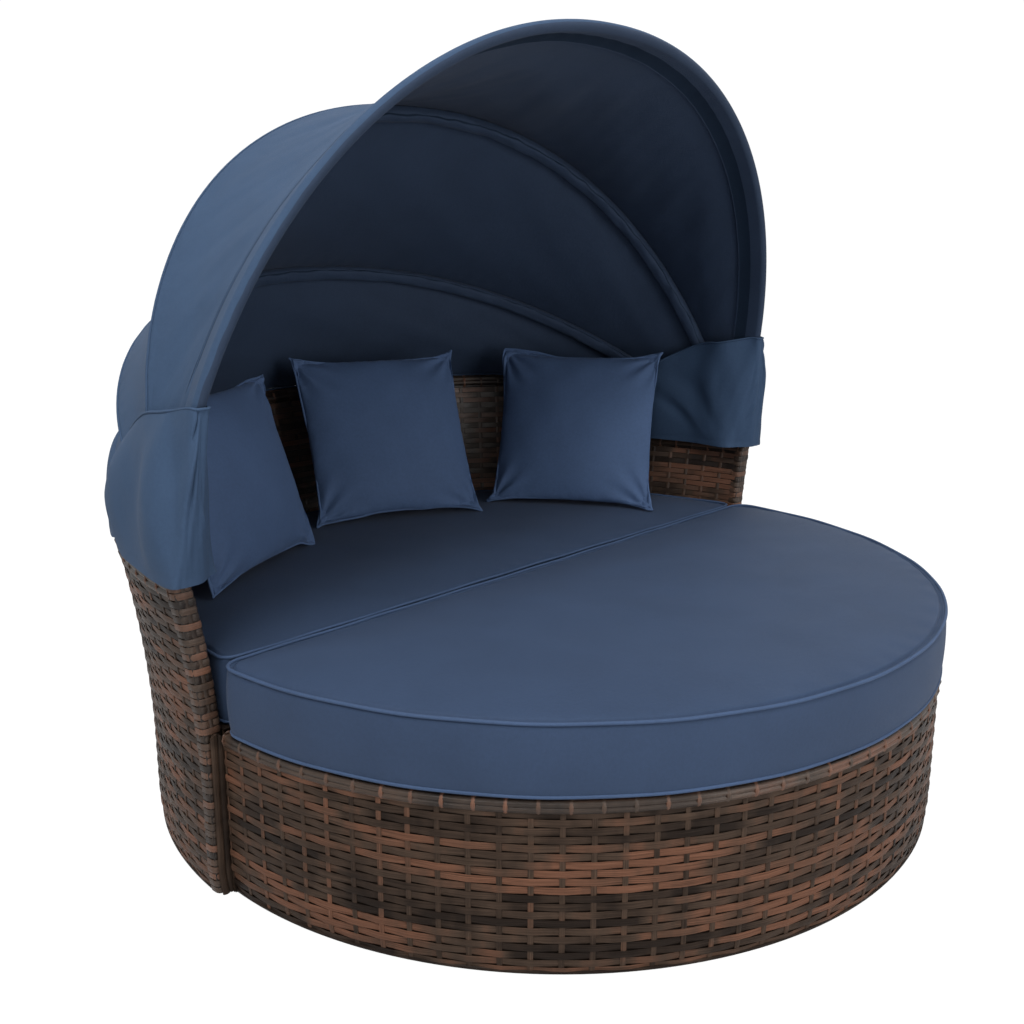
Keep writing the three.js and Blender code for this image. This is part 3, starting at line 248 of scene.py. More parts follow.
def join(piece, *others):
    pick(piece, *others)
    bpy.ops.object.join()


def named(name):
    piece = bpy.context.active_object
    piece.name = name
    piece.data.name = name
    return piece


def places_of(piece):
    flat = np.empty(len(piece.data.vertices) * 3)
    piece.data.vertices.foreach_get("co", flat)
    return flat.reshape(-1, 3)


def set_places(piece, places):
    piece.data.vertices.foreach_set("co", np.ascontiguousarray(places, dtype=np.float32).ravel())
    piece.data.update()


def set_uv(piece, u, v):
    layer = piece.data.uv_layers.active or piece.data.uv_layers.new(name="UVMap")
    corner = np.empty(len(piece.data.loops), dtype=np.int32)
    piece.data.loops.foreach_get("vertex_index", corner)
    layer.data.foreach_set("uv", np.stack([u[corner], v[corner]], axis=-1).astype(np.float32).ravel())


def set_mark(piece, name, values):
    """Stores a number on each point, or one number on all of them."""
    mark = piece.data.attributes.get(name) or piece.data.attributes.new(name, "FLOAT", "POINT")
    values = np.broadcast_to(np.asarray(values, dtype=np.float32), len(piece.data.vertices))
    mark.data.foreach_set("value", np.ascontiguousarray(values))


def mark_of(piece, name):
    values = np.empty(len(piece.data.vertices), dtype=np.float32)
    piece.data.attributes[name].data.foreach_get("value", values)
    return values.astype(float)


def apply_modifier(piece, kind, **settings):
    pick(piece)
    modifier = piece.modifiers.new(kind.title(), kind)
    for name, value in settings.items():
        setattr(modifier, name, value)
    bpy.ops.object.modifier_apply(modifier=modifier.name)


def in_edit_mode(piece, *steps):
    pick(piece)
    bpy.ops.object.mode_set(mode="EDIT")
    bpy.ops.mesh.select_all(action="SELECT")
    for step in steps:
        step()
    bpy.ops.object.mode_set(mode="OBJECT")


def face_out(piece):
    in_edit_mode(piece, lambda: bpy.ops.mesh.normals_make_consistent(inside=False))


def weld(piece, distance):
    in_edit_mode(
        piece,
        lambda: bpy.ops.mesh.remove_doubles(threshold=distance),
        lambda: bpy.ops.mesh.dissolve_degenerate(threshold=distance),
        lambda: bpy.ops.mesh.normals_make_consistent(inside=False),
    )


def smooth(piece, angle=180):
    pick(piece)
    bpy.ops.object.shade_smooth_by_angle(angle=math.radians(angle))


def dress(piece, material, body, node=None):
    """Gives a piece its material, slot and body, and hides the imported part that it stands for."""
    piece.data.materials.clear()
    piece.data.materials.append(bpy.data.materials[material])
    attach(piece, body)
    if node:
        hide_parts(node)


# Plain shapes to start from


def grid(name, columns, rows):
    """A flat sheet from 0 to 1 both ways, ready to be shaped."""
    clear_selection()
    bpy.ops.mesh.primitive_grid_add(
        x_subdivisions=columns, y_subdivisions=rows, size=1, location=(0.5, 0.5, 0)
    )
    piece = named(name)
    bpy.ops.object.transform_apply(location=True, rotation=True, scale=True)
    return piece


def bar(name, sides, segments):
    """A round bar of diameter 1 along X from 0 to 1, cut into segments."""
    clear_selection()
    bpy.ops.mesh.primitive_cylinder_add(
        vertices=sides, radius=0.5, depth=1, end_fill_type="NGON",
        location=(0.5, 0, 0), rotation=(0, math.pi / 2, 0),
    )
    piece = named(name)
    bpy.ops.object.transform_apply(location=True, rotation=True, scale=True)
    bpy.ops.object.mode_set(mode="EDIT")
    bpy.ops.mesh.select_mode(type="EDGE")
    bpy.ops.mesh.select_all(action="DESELECT")
    bpy.ops.object.mode_set(mode="OBJECT")
    vertices = piece.data.vertices
    for edge in piece.data.edges:
        a, b = (vertices[i].co.x for i in edge.vertices)
        edge.select = abs(a - b) > 0.5
    bpy.ops.object.mode_set(mode="EDIT")
    bpy.ops.mesh.subdivide(number_cuts=segments - 1)
    bpy.ops.object.mode_set(mode="OBJECT")
    return piece


def bars(name, sides, segments, count, axis):
    """Copies of a bar in one mesh, with each point's place in its own bar and the number of that bar."""
    piece = bar(name, sides, segments)
    step = [0, 0, 0]
    step[axis] = 2
    apply_modifier(
        piece, "ARRAY", count=count, use_relative_offset=False, use_constant_offset=True,
        constant_offset_displace=step,
    )
    flat = places_of(piece)
    middle = 0.5 if axis == 0 else 0
    number = np.round((flat[:, axis] - middle) / 2).astype(int)
    flat[:, axis] -= 2 * number
    return piece, flat.T, number


def ring(name, around, sides):
    """A ring whose run is its turn about Z and whose section is round."""
    clear_selection()
    bpy.ops.mesh.primitive_torus_add(
        major_segments=around, minor_segments=sides, major_radius=1, minor_radius=0.25
    )
    return named(name)


def tube_on_path(piece, path, radius, closed=False, upward=(0, 0, 1)):
    """Shapes a bar, or a ring where the path is closed, into a tube that follows a path."""
    x, y, z = places_of(piece).T
    count = len(path)
    upward = np.broadcast_to(np.asarray(upward, dtype=float), path.shape)
    if closed:
        run = np.arctan2(y, x) / (2 * math.pi) % 1.0 * count
        section = np.arctan2(z, np.hypot(x, y) - 1)
        reach = np.full(len(run), radius)
        ways = unit(np.roll(path, -1, axis=0) - np.roll(path, 1, axis=0))
        path, ways, upward = (np.vstack([rows, rows[:1]]) for rows in (path, ways, upward))
    else:
        run = x * (count - 1)
        section = np.arctan2(z, y)
        reach = np.where(y**2 + z**2 < 1e-8, 0, radius)
        ways = unit(np.gradient(path, axis=0))
    low = np.clip(np.floor(run).astype(int), 0, len(path) - 2)
    share = (run - low)[:, None]
    centre, along, up = (mix(rows[low], rows[low + 1], share) for rows in (path, ways, upward))
    along = unit(along)
    across = unit(np.cross(along, up))
    over = unit(np.cross(across, along))
    set_places(piece, round_about(centre, across, over, section, reach))
    length = np.linalg.norm(np.diff(path, axis=0), axis=1).sum()
    set_uv(piece, run / count * length, section * radius)


# Shader nodes


def put(tree, kind, place, sockets=None, **settings):
    """Adds a node, sets its sockets or links them to the outputs given, and returns its own outputs."""
    node = tree.nodes.new("ShaderNode" + kind)
    node.location = place
    for name, value in settings.items():
        setattr(node, name, value)
    for name, value in (sockets or {}).items():
        if isinstance(value, bpy.types.NodeSocket):
            tree.links.new(value, node.inputs[name])
        else:
            node.inputs[name].default_value = value
    return node.outputs


def calc(tree, place, operation, *values):
    return put(tree, "Math", place, dict(enumerate(values)), operation=operation)[0]


def remap(tree, place, value, low, high, first=0.0, last=1.0):
    sockets = {"Value": value, "From Min": low, "From Max": high, "To Min": first, "To Max": last}
    return put(tree, "MapRange", place, sockets)[0]


def noise(tree, place, vector, scale, detail, roughness=0.5, distortion=0.0):
    sockets = {
        "Vector": vector, "Scale": scale, "Detail": detail, "Roughness": roughness,
        "Distortion": distortion,
    }
    return put(tree, "TexNoise", place, sockets)["Fac"]


def stretched(tree, place, vector, factors):
    return put(tree, "VectorMath", place, {0: vector, 1: factors}, operation="MULTIPLY")[0]


def scaled(tree, place, colour, factor):
    return put(tree, "VectorMath", place, {0: colour, "Scale": factor}, operation="SCALE")[0]


def blended(tree, place, factor, first, last):
    return put(tree, "Mix", place, {"Factor": factor, 6: first, 7: last}, data_type="RGBA")[2]


def fresh_tree(owner):
    owner.use_nodes = True
    owner.node_tree.nodes.clear()
    return owner.node_tree


def open_group(name, inputs):
    """Starts a shader group: its inputs are places where no default is given, colours or numbers."""
    tree = bpy.data.node_groups.new(name, "ShaderNodeTree")
    for label, value in inputs.items():
        kind = "Vector" if value is None else "Color" if isinstance(value, tuple) else "Float"
        socket = tree.interface.new_socket(label, in_out="INPUT", socket_type="NodeSocket" + kind)
        if value is not None:
            socket.default_value = value
    for label, kind in (("Color", "Color"), ("Height", "Float"), ("Roughness", "Float")):
        tree.interface.new_socket(label, in_out="OUTPUT", socket_type="NodeSocket" + kind)
    start = tree.nodes.new("NodeGroupInput")
    start.location = (-900, 0)
    return tree, start.outputs


def close_group(tree, colour, height, roughness):
    end = tree.nodes.new("NodeGroupOutput")
    end.location = (700, 0)
    for name, source in (("Color", colour), ("Height", height), ("Roughness", roughness)):
        tree.links.new(source, end.inputs[name])


def make_strand_group():
    """Mottled colour, fine ribs and gloss of a resin wicker strand."""
    tree, given = open_group("Strand finish", {
        "Strand place": None,
        "Tone": 0.5,
        "Dark": (0.03, 0.02, 0.02, 1),
        "Grey": (0.06, 0.05, 0.04, 1),
        "Red": (0.1, 0.05, 0.03, 1),
    })
    long_way = stretched(tree, (-700, 200), given["Strand place"], (14, 2.2, 1))
    patches = noise(tree, (-500, 200), long_way, 1.0, 3, 0.55)
    shifted = calc(tree, (-320, 200), "ADD", patches, -0.5)
    spread = calc(tree, (-160, 200), "MULTIPLY_ADD", shifted, 1.1, given["Tone"])
    darker = remap(tree, (0, 260), spread, 0.1, 0.5)
    redder = remap(tree, (0, 0), spread, 0.5, 0.85)
    brown = blended(tree, (180, 200), darker, given["Dark"], given["Grey"])
    toned = blended(tree, (340, 200), redder, brown, given["Red"])
    ribbed = stretched(tree, (-700, -200), given["Strand place"], (9, 900, 1))
    ribs = noise(tree, (-500, -200), ribbed, 1.0, 2, 0.6)
    streaks = remap(tree, (180, -60), ribs, 0.3, 0.7, 0.60, 1.45)
    gloss = remap(tree, (180, -320), patches, 0.3, 0.7, 0.30, 0.46)
    close_group(tree, scaled(tree, (500, 200), toned, streaks), ribs, gloss)


def make_cloth_group():
    """Thread grain and soft creases of an outdoor cloth, with painted shade in the creases' hollows and
    painted light on their ridges.
    """
    tree, given = open_group("Cloth finish", {
        "Cloth place": None,
        "Object place": None,
        "Colour": (0.05, 0.08, 0.14, 1),
        "Thread pitch": 0.0007,
    })
    per_metre = calc(tree, (-720, -260), "DIVIDE", 2 * math.pi, given["Thread pitch"])
    split = put(tree, "SeparateXYZ", (-720, -80), {0: given["Cloth place"]})
    waves = []
    for axis, height in (("X", -80), ("Y", -240)):
        phase = calc(tree, (-540, height), "MULTIPLY", split[axis], per_metre)
        waves.append(calc(tree, (-380, height), "SINE", phase))
    grain = calc(tree, (-220, -120), "MULTIPLY", *waves)
    slubs = noise(tree, (-380, 160), given["Object place"], 160, 3, 0.6)
    creases = noise(tree, (-380, 380), given["Object place"], 7.5, 4, 0.55, 0.5)
    # Colour follows the creases' relief, darker where it sinks and lighter where it rises: painted shade
    # and light.
    crease_shade = remap(tree, (-160, 380), creases, 0.3, 0.7, 0.94, 1.06)
    mottled = remap(tree, (-160, 160), slubs, 0.3, 0.7, 0.95, 1.05)
    both = calc(tree, (40, 260), "MULTIPLY", crease_shade, mottled)
    fine = calc(tree, (40, -60), "MULTIPLY_ADD", grain, 0.10, slubs)
    relief = calc(tree, (240, -60), "MULTIPLY_ADD", creases, 2.5, fine)
    gloss = remap(tree, (240, -260), slubs, 0.0, 1.0, 0.64, 0.74)
    close_group(tree, scaled(tree, (240, 200), given["Colour"], both), relief, gloss)


def make_coat_group():
    """Orange peel and light dust of a painted or moulded part."""
    tree, given = open_group("Coat finish", {
        "Object place": None,
        "Colour": (0.02, 0.02, 0.02, 1),
        "Grain": 300.0,
        "Roughness": 0.5,
    })
    peel = noise(tree, (-500, 0), given["Object place"], given["Grain"], 3)
    dust = noise(tree, (-500, 260), given["Object place"], 14, 4)
    light = remap(tree, (-260, 260), dust, 0.3, 0.7, 0.85, 1.2)
    rough = calc(tree, (0, -200), "MULTIPLY_ADD", dust, 0.15, given["Roughness"])
    close_group(tree, scaled(tree, (0, 200), given["Colour"], light), peel, rough)


# The node, output and settings that feed each place or mark that a shared group asks for
SOURCES = {
    "Strand place": ("UVMap", 0, {"uv_map": "UVMap"}),
    "Cloth place": ("UVMap", 0, {"uv_map": "UVMap"}),
    "Object place": ("TexCoord", "Object", {}),
    "Tone": ("Attribute", "Fac", {"attribute_name": "tone"}),
}


def make_material(name, finish, depth, strength, values, shading):
    """A material round a shared group, with the depth and strength of its relief."""
    tree = fresh_tree(bpy.data.materials.new(name))
    shared = bpy.data.node_groups[finish]
    sockets = dict(values)
    labels = {item.name for item in shared.interface.items_tree}
    for number, (label, (kind, output, settings)) in enumerate(SOURCES.items()):
        if label in labels:
            sockets[label] = put(tree, kind, (-400, 100 - 200 * number), **settings)[output]
    made = put(tree, "Group", (0, 0), sockets, node_tree=shared)
    relief = {"Distance": depth, "Strength": strength, "Height": made["Height"]}
    shading = {
        "Base Color": made["Color"], "Roughness": made["Roughness"],
        "Normal": put(tree, "Bump", (500, -200), relief)[0], **shading,
    }
    shader = put(tree, "BsdfPrincipled", (720, 0), shading)
    put(tree, "OutputMaterial", (1000, 0), {"Surface": shader[0]})


def opaque(colour, share=1.0):
    return (*(value * share for value in colour), 1.0)


# Shapes of the walls


def wall_radius(height):
    rise = np.maximum(0, height - WALL_BEND)
    tuck = np.maximum(0, TUCK_HEIGHT - height) / TUCK_HEIGHT
    return WALL_FOOT_RADIUS + WALL_LEAN * rise + rise**2 / WALL_SWEEP - TUCK * tuck**2


def ottoman_radius(height):
    tuck = np.maximum(0, TUCK_HEIGHT - height) / TUCK_HEIGHT
    return OTTOMAN_RADIUS - TUCK * tuck**2


def wall_top(angle):
    side = np.minimum(angle, math.pi - angle)
    return ARM_HEIGHT + (BACK_HEIGHT - ARM_HEIGHT) * smooth_share(side, RISE_START, RISE_END)


def wall_turn(share):
    """The turn round the bed at a share of the wall's run, from the right arm's end to the left one's."""
    return WALL_END_TURN + (math.pi - 2 * WALL_END_TURN) * share


def wall_share_at(height, drop):
    """The share of the wall's run at which its top, less a drop, is at a height."""
    angles = np.linspace(RISE_START, RISE_END, 60)
    shares = (angles - WALL_END_TURN) / (math.pi - 2 * WALL_END_TURN)
    return np.interp(height, wall_top(angles) - drop, shares, left=0.0)


def wall_limit(share, top, sloped):
    """How high a weave goes: level, or a little below the wall's own top."""
    return np.minimum(top, wall_top(wall_turn(share)) - WEAVE_BELOW_TOP) if sloped else top + 0 * share


def on_wall(inset):
    """Places on the sofa's wall, at a share of its run, a height and a depth outwards."""

    def place(share, height, depth):
        radius = wall_radius(height) - inset
        start = np.arcsin(WALL_START / radius)
        return polar(radius + depth, start + (math.pi - 2 * start) * share, height)

    return place


def on_ottoman(share, height, depth):
    radius = ottoman_radius(height) - WEAVE_THICK / 2
    end = np.arcsin((OTTOMAN_BACK - 0.0008) / radius)
    return polar(radius + depth, end - (math.pi + 2 * end) * share, height)


def on_flat(reach, y, facing):
    def place(share, height, depth):
        return stack(mix(-reach, reach, share), y + PLAN_Y + facing * depth, height)

    return place


def top_line(share):
    """The middle of the wall's rolled top and the way outwards, at a share of its run."""
    height = wall_top(wall_turn(share)) - ROLL_RADIUS
    centre = on_wall(ROLL_RADIUS)(share, height, 0.0)
    return centre, unit(centre * [1, 1, 0] - [0, PLAN_Y, 0])


# Weave

STRAND_THICK = 0.0008
STAKE_WIDTH = 0.0085
BAND_THICK = 0.0009
EDGE_HEIGHT, EDGE_THICK = 0.0066, 0.0056
SHADE_SHEET_DEPTH = 0.0027
STRAND_LENGTH = 0.31
FRONT_HALF, BACK_HALF = 0.7362, 0.7425
FLAT_WEAVE_TOP = BASE_TOP - 0.0015
LEDGE_DEPTH = 0.062
WEAVES = {
    "sofa_outer_wicker": {
        "place": on_wall(WEAVE_THICK / 2), "length": math.pi * 0.79 - 0.1, "bottom": WEAVE_FOOT,
        "top": BACK_HEIGHT - WEAVE_BELOW_TOP, "body": "sofa", "node": "sofa_outer_weave", "seed": 11,
        "sloped": True,
    },
    "sofa_inner_wicker": {
        "place": on_wall(WALL_THICK - WEAVE_THICK / 2), "length": math.pi * 0.76 - 0.1,
        "bottom": BASE_TOP + 0.001, "top": BACK_HEIGHT - WEAVE_BELOW_TOP, "body": "sofa",
        "node": "sofa_inner_weave", "seed": 12, "sloped": True, "behind": SHADE_SHEET_DEPTH,
        "material": "Inner strands",
    },
    "ottoman_wicker": {
        "place": on_ottoman, "length": math.pi * OTTOMAN_RADIUS + 0.06, "bottom": WEAVE_FOOT,
        "top": BASE_TOP - 0.018, "body": "ottoman", "node": "ottoman_base_weave", "seed": 13,
    },
    "sofa_front_wicker": {
        "place": on_flat(FRONT_HALF, SOFA_FRONT + WEAVE_THICK / 2, -1), "length": 2 * FRONT_HALF,
        "bottom": WEAVE_FOOT, "top": FLAT_WEAVE_TOP, "body": "sofa", "node": "sofa_front_weave",
        "seed": 14,
    },
    "ottoman_back_wicker": {
        "place": on_flat(BACK_HALF, OTTOMAN_BACK - WEAVE_THICK / 2, 1), "length": 2 * BACK_HALF,
        "bottom": WEAVE_FOOT, "top": FLAT_WEAVE_TOP, "body": "ottoman", "node": "ottoman_back_weave",
        "seed": 15,
    },
}


def strand_tones(row, along, seed):
    """Tone of each point of a row: lengths of strand, each of its own colour."""
    draws = np.random.RandomState(seed).uniform(0, 1, (120, 40))
    piece = np.floor(along / STRAND_LENGTH + draws[row % 120, 0] * 3).astype(int) % 39 + 1
    patches = ripple(along * 7, row * 0.45, seed + 3)
    return draws[row % 120, piece] ** 0.9 * 0.75 + 0.08 + 0.30 * patches


def shade_sheet(name, place, bottom, top, sloped, behind):
    """A dark sheet behind a weave, which closes the gaps between the strands: painted shade where one would
    see into the wall or base.
    """
    piece = grid(name + "_lining", 180, 10)
    share, rise = places_of(piece).T[:2]
    limit = wall_limit(share, top, sloped)
    set_places(piece, place(mix(0.001, 0.999, share), mix(bottom, limit, rise), behind + 0 * limit))
    set_uv(piece, share, rise)
    apply_modifier(piece, "SOLIDIFY", thickness=0.0003, offset=0.0)
    face_out(piece)
    # A tone far below the strands' range gives the darkest strand colour all over: painted shade.
    set_mark(piece, "tone", -4.0)
    return piece


def stakes_of(name, place, count, length, bottom, top, sloped, seed):
    """The upright stakes of a weave."""
    piece, (rise, beside, thick), stake = bars(name + "_stakes", 6, 14, count + 1, 1)
    beside = beside * STAKE_WIDTH
    share = stake / count
    height = mix(bottom + 0.004, wall_limit(share, top, sloped), rise)
    set_places(piece, place(np.clip(share + beside / length, 0, 1), height, thick * 2 * BAND_THICK))
    set_uv(piece, height, beside + stake * 0.31)
    set_mark(piece, "tone", np.random.RandomState(seed).uniform(0.25, 0.7, count + 1)[stake])
    return piece


def foot_edge(name, place, steps, length, bottom):
    """The thick strand that ends a weave at its foot."""
    piece = bar(name + "_foot", 8, steps)
    share, thick, across = places_of(piece).T
    set_places(piece, place(share, bottom + 0.0034 + across * EDGE_HEIGHT, thick * EDGE_THICK))
    set_uv(piece, share * length, across * EDGE_HEIGHT)
    set_mark(piece, "tone", 0.12)
    return piece


def weave(
    name, place, length, bottom, top, body, node, seed,
    sloped=False, behind=-SHADE_SHEET_DEPTH, material="Wicker strands",
):
    """Flat strands woven round upright stakes, on the place that a share, height and depth give."""
    sizes = bpy.context.scene.daybed_sizes
    width = sizes.strand_width
    stakes = int(round(length / sizes.stake_spacing))
    rows = int((top - bottom) / sizes.strand_pitch)
    pitch = (top - bottom) / rows
    steps = stakes * 4
    strands, (share, thick, across), row = bars(name, 6, steps, rows, 2)
    across = signed_power(across * 2, 0.4)
    height = bottom + (row + 0.5) * pitch
    if sloped:
        shortened = height > ARM_HEIGHT - WEAVE_BELOW_TOP - 0.002
        cut = np.where(shortened, wall_share_at(height, WEAVE_BELOW_TOP), 0.0)
        share = mix(cut, 1 - cut, share)
    along = share * length
    over = 0.0014 * signed_power(np.cos(math.pi * (stakes * share + row)), 0.8)
    depth = over + thick * 2 * STRAND_THICK - 0.0003 * across**2
    set_places(strands, place(share, height + across * width / 2, depth))
    set_uv(strands, along, across * width / 2 + row * 0.173)
    set_mark(strands, "tone", strand_tones(row, along, seed))
    posts = stakes_of(name, place, stakes, length, bottom, top, sloped, seed + 50)
    shade_sheet_piece = shade_sheet(name, place, bottom, top, sloped, behind)
    join(strands, shade_sheet_piece, posts, foot_edge(name, place, steps, length, bottom))
    smooth(strands, 50)
    dress(strands, material, body, node)


def front_ledge():
    """The thin strip behind the sofa's front weave."""
    piece = grid("sofa_front_ledge", 60, 4)
    share, depth = places_of(piece).T[:2]
    depth = depth * LEDGE_DEPTH
    set_places(piece, on_flat(FRONT_HALF, SOFA_FRONT + 0.001, 1)(share, BASE_TOP - 0.0016, depth))
    set_uv(piece, share * 1.47, depth)
    set_mark(piece, "tone", 0.1)
    apply_modifier(piece, "SOLIDIFY", thickness=0.0012, offset=0.0)
    face_out(piece)
    dress(piece, "Wicker strands", "sofa")


class DAYBED_OT_walls(bpy.types.Operator):
    """Weave the walls of the sofa half and the base of the ottoman half"""

    bl_idname = "daybed.walls"
    bl_label = "Woven Walls"

    def execute(self, context):
        for name, settings in WEAVES.items():
            weave(name, **settings)
        front_ledge()
        return {"FINISHED"}


# Rolled edges

STRAND_RELIEF, STRAND_DEPTH = 0.0032, 0.0036
TIE_WIDTH = 0.0062
TOP_RUN, RIM_RUN = 2.46, 2.36


def roll(name, line, length, radius, body, node, seed, lobes):
    """A rolled edge: strands laid along it, tied down at each stake."""
    sizes = bpy.context.scene.daybed_sizes
    ties = int(round(length / sizes.stake_spacing))
    piece = bar(name, lobes * 6, ties * 4)
    share, y, z = places_of(piece).T
    turn = np.arctan2(z, y)
    reach = radius - STRAND_DEPTH + STRAND_RELIEF * np.abs(np.sin(turn * lobes / 2)) ** 0.6
    centre, outward = line(share)
    set_places(piece, round_about(centre, outward, UP, turn, reach * (np.hypot(y, z) >= 0.01)))
    number = np.floor((turn + math.pi) / (2 * math.pi) * lobes).astype(int) % lobes
    set_uv(piece, share * length, turn * radius + number * 0.21)
    tones = np.random.RandomState(seed).uniform(0.1, 0.75, (lobes, 24))
    set_mark(piece, "tone", tones[number, np.clip((share * 12).astype(int), 0, 23)])

    band, (x, y, z), tie = bars(name + "_ties", 10, 2, ties + 1, 0)
    along = x - 0.5
    turn = np.arctan2(z, y)
    share = np.clip(tie / ties + along * TIE_WIDTH / length, 0.0005, 0.9995)
    centre, outward = line(share)
    reach = radius + 0.0008 - 0.0014 * (np.abs(along) > 0.4)
    set_places(band, round_about(centre, outward, UP, turn, reach * (np.hypot(y, z) >= 0.01)))
    set_uv(band, turn * radius, along * 0.0075 + tie * 0.37)
    set_mark(band, "tone", np.random.RandomState(seed + 9).uniform(0.5, 0.95, ties + 1)[tie])
    join(piece, band)
    smooth(piece, 50)
    dress(piece, "Rolled strands", body, node)


def rim_line(share):
    """The middle of the ottoman half's rolled rim and the way outwards, at a share of its run."""
    radius = OTTOMAN_RADIUS + 0.002 - RIM_RADIUS
    end = math.asin((OTTOMAN_BACK - 0.0010) / radius)
    angle = end - (math.pi + 2 * end) * share
    return polar(radius, angle, BASE_TOP - RIM_RADIUS), stack(np.cos(angle), np.sin(angle), 0.0)


class DAYBED_OT_rolls(bpy.types.Operator):
    """Roll the top edge of the sofa's wall and the ottoman's rim"""

    bl_idname = "daybed.rolls"
    bl_label = "Rolled Edges"

    def execute(self, context):
        def edge(share):
            return top_line(mix(0.0008, 0.9992, share))

        roll("sofa_top_edge", edge, TOP_RUN, ROLL_RADIUS, "sofa", "sofa_top_roll", 21, 7)
        roll("ottoman_rim", rim_line, RIM_RUN, RIM_RADIUS, "ottoman", "ottoman_rim_roll", 22, 5)
        return {"FINISHED"}


# Bound ends and corners

BINDING_BACK, BINDING_CORNER = 0.0105, 0.0095
BINDING_HALF = ROLL_RADIUS - 0.0012
BINDING_TOP = ARM_HEIGHT - ROLL_RADIUS


def end_middle(height):
    """How far out the middle of an arm's end is at a height."""
    return np.sqrt(wall_radius(height) ** 2 - WALL_START**2) - ROLL_RADIUS


def end_squeeze(height, start, least):
    """How an arm's end narrows where it is rounded over."""
    crest = np.maximum(0, height - start)
    return np.sqrt(np.maximum(least, 1 - (crest / ROLL_RADIUS) ** 2))


def end_wraps(side, sign):
    """Strands wrapped round the end of an arm, every other one under the middle stake."""
    rows = int((BINDING_TOP - FOOT) / bpy.context.scene.daybed_sizes.strand_pitch)
    pitch = (BINDING_TOP - FOOT) / rows
    piece, (share, thick, across), row = bars("sofa_bound_end_" + side, 6, 20, rows + 1, 2)
    across = across * 2
    height = FOOT + (row + 0.5) * pitch + across * pitch * 0.49
    straight = 2 * (BINDING_HALF - BINDING_CORNER)
    quarter = math.pi / 2 * BINDING_CORNER
    run = share * (2 * BINDING_BACK + 2 * quarter + straight)
    turn = np.clip((run - BINDING_BACK) / quarter, 0, 1) * math.pi / 2
    turn = turn + np.clip((run - BINDING_BACK - quarter - straight) / quarter, 0, 1) * math.pi / 2
    side_way = np.clip(run - BINDING_BACK - quarter, 0, straight)
    behind = np.clip(run - BINDING_BACK - 2 * quarter - straight, 0, BINDING_BACK)
    x = BINDING_HALF - BINDING_CORNER + BINDING_CORNER * np.cos(turn) - side_way
    y = -np.clip(run, 0, BINDING_BACK) - BINDING_CORNER * np.sin(turn) + behind
    at_front = np.exp(-((x / 0.006) ** 2)) * (np.sin(turn) > 0.9)
    under = np.where(row % 2 == 1, -0.0016, 0.0008) * at_front
    depth = thick * 2 * BAND_THICK - 0.0004 * across**2 + under + 0.0006 * np.sin(row * 2.3)
    x = (x + np.cos(turn) * depth) * end_squeeze(height, BINDING_TOP - 0.002, 0.05)
    y = SOFA_FRONT + BINDING_CORNER + BINDING_BACK + 0.0012 + y - np.sin(turn) * depth
    set_places(piece, stack(sign * (end_middle(height) + x), y + PLAN_Y, height))
    set_uv(piece, run, across * 0.006 + row * 0.193)
    tones = np.random.RandomState(31).uniform(-0.24, 0.24, rows + 1)
    set_mark(piece, "tone", np.where(row % 2 == 0, 0.66, 0.34) + tones[row])
    return piece


def end_stake(side, sign):
    """The stake down the middle of an arm's end."""
    piece = bar("sofa_end_stake_" + side, 8, 24)
    rise, beside, thick = places_of(piece).T
    height = mix(FOOT + 0.004, ARM_HEIGHT - 0.004, rise)
    x = sign * end_middle(height) + beside * STAKE_WIDTH
    set_places(piece, stack(x, SOFA_FRONT + 0.0022 + thick * 0.0026 + PLAN_Y, height))
    set_uv(piece, height, beside * STAKE_WIDTH)
    set_mark(piece, "tone", 0.32)
    return piece


def end_core(side, sign):
    """The dark core inside the wraps, boxy in section."""
    piece = bar("sofa_end_core_" + side, 20, 24)
    rise, beside, thick = places_of(piece).T
    height = mix(FOOT + 0.001, ARM_HEIGHT - 0.0015, rise)
    half = (BINDING_HALF - 0.0022) * end_squeeze(height, BINDING_TOP, 0.0)
    x = sign * end_middle(height) + np.clip(beside * 2.6, -1, 1) * half
    y = SOFA_FRONT + 0.0085 + np.clip(thick * 2.6, -1, 1) * 0.0062
    set_places(piece, stack(x, y + PLAN_Y, height))
    set_uv(piece, height, beside * 0.02)
    set_mark(piece, "tone", 0.05)
    return piece


def corner_strips(side, sign):
    """Three upright strands that bind a back corner of the ottoman half."""
    piece, (rise, across, thick), number = bars("ottoman_corner_strip_" + side, 8, 22, 3, 1)
    across = across * 0.0132
    height = mix(WEAVE_FOOT, BASE_TOP - 0.001, rise)
    beside = 0.0038 + (number - 1) * 0.0125 + across
    bow = np.clip((beside - 0.0123) / 0.0123, -1, 1)
    height = height - 0.010 * bow**2 * smooth_share(rise, 0.80, 1.0)
    edge = np.sqrt(ottoman_radius(height) ** 2 - OTTOMAN_BACK**2) - 0.003
    outer = number > 0
    y = OTTOMAN_BACK + np.where(outer, 0.0035, -0.0048) + thick * np.where(outer, 0.0062, 0.0084)
    set_places(piece, stack(sign * (edge + beside), y + PLAN_Y, height))
    set_uv(piece, height, across + number * 0.5)
    set_mark(piece, "tone", np.where(number > 1, 0.36, 0.18))
    face_out(piece)
    smooth(piece, 50)
    dress(piece, "Wicker strands", "ottoman")


class DAYBED_OT_bindings(bpy.types.Operator):
    """Bind the ends of the arms and the back corners of the ottoman half"""

    bl_idname = "daybed.bindings"
    bl_label = "Bound Ends"

    def execute(self, context):
        for side, sign in SIDES.items():
            wraps = end_wraps(side, sign)
            join(wraps, end_stake(side, sign), end_core(side, sign))
            face_out(wraps)
            smooth(wraps, 50)
            dress(wraps, "Rolled strands", "sofa", "sofa_end_binding_" + side)
            corner_strips(side, sign)
        return {"FINISHED"}


# Seat cushions

CORD_WAVE = 0.0005
SEAM_DRAW = 0.0050


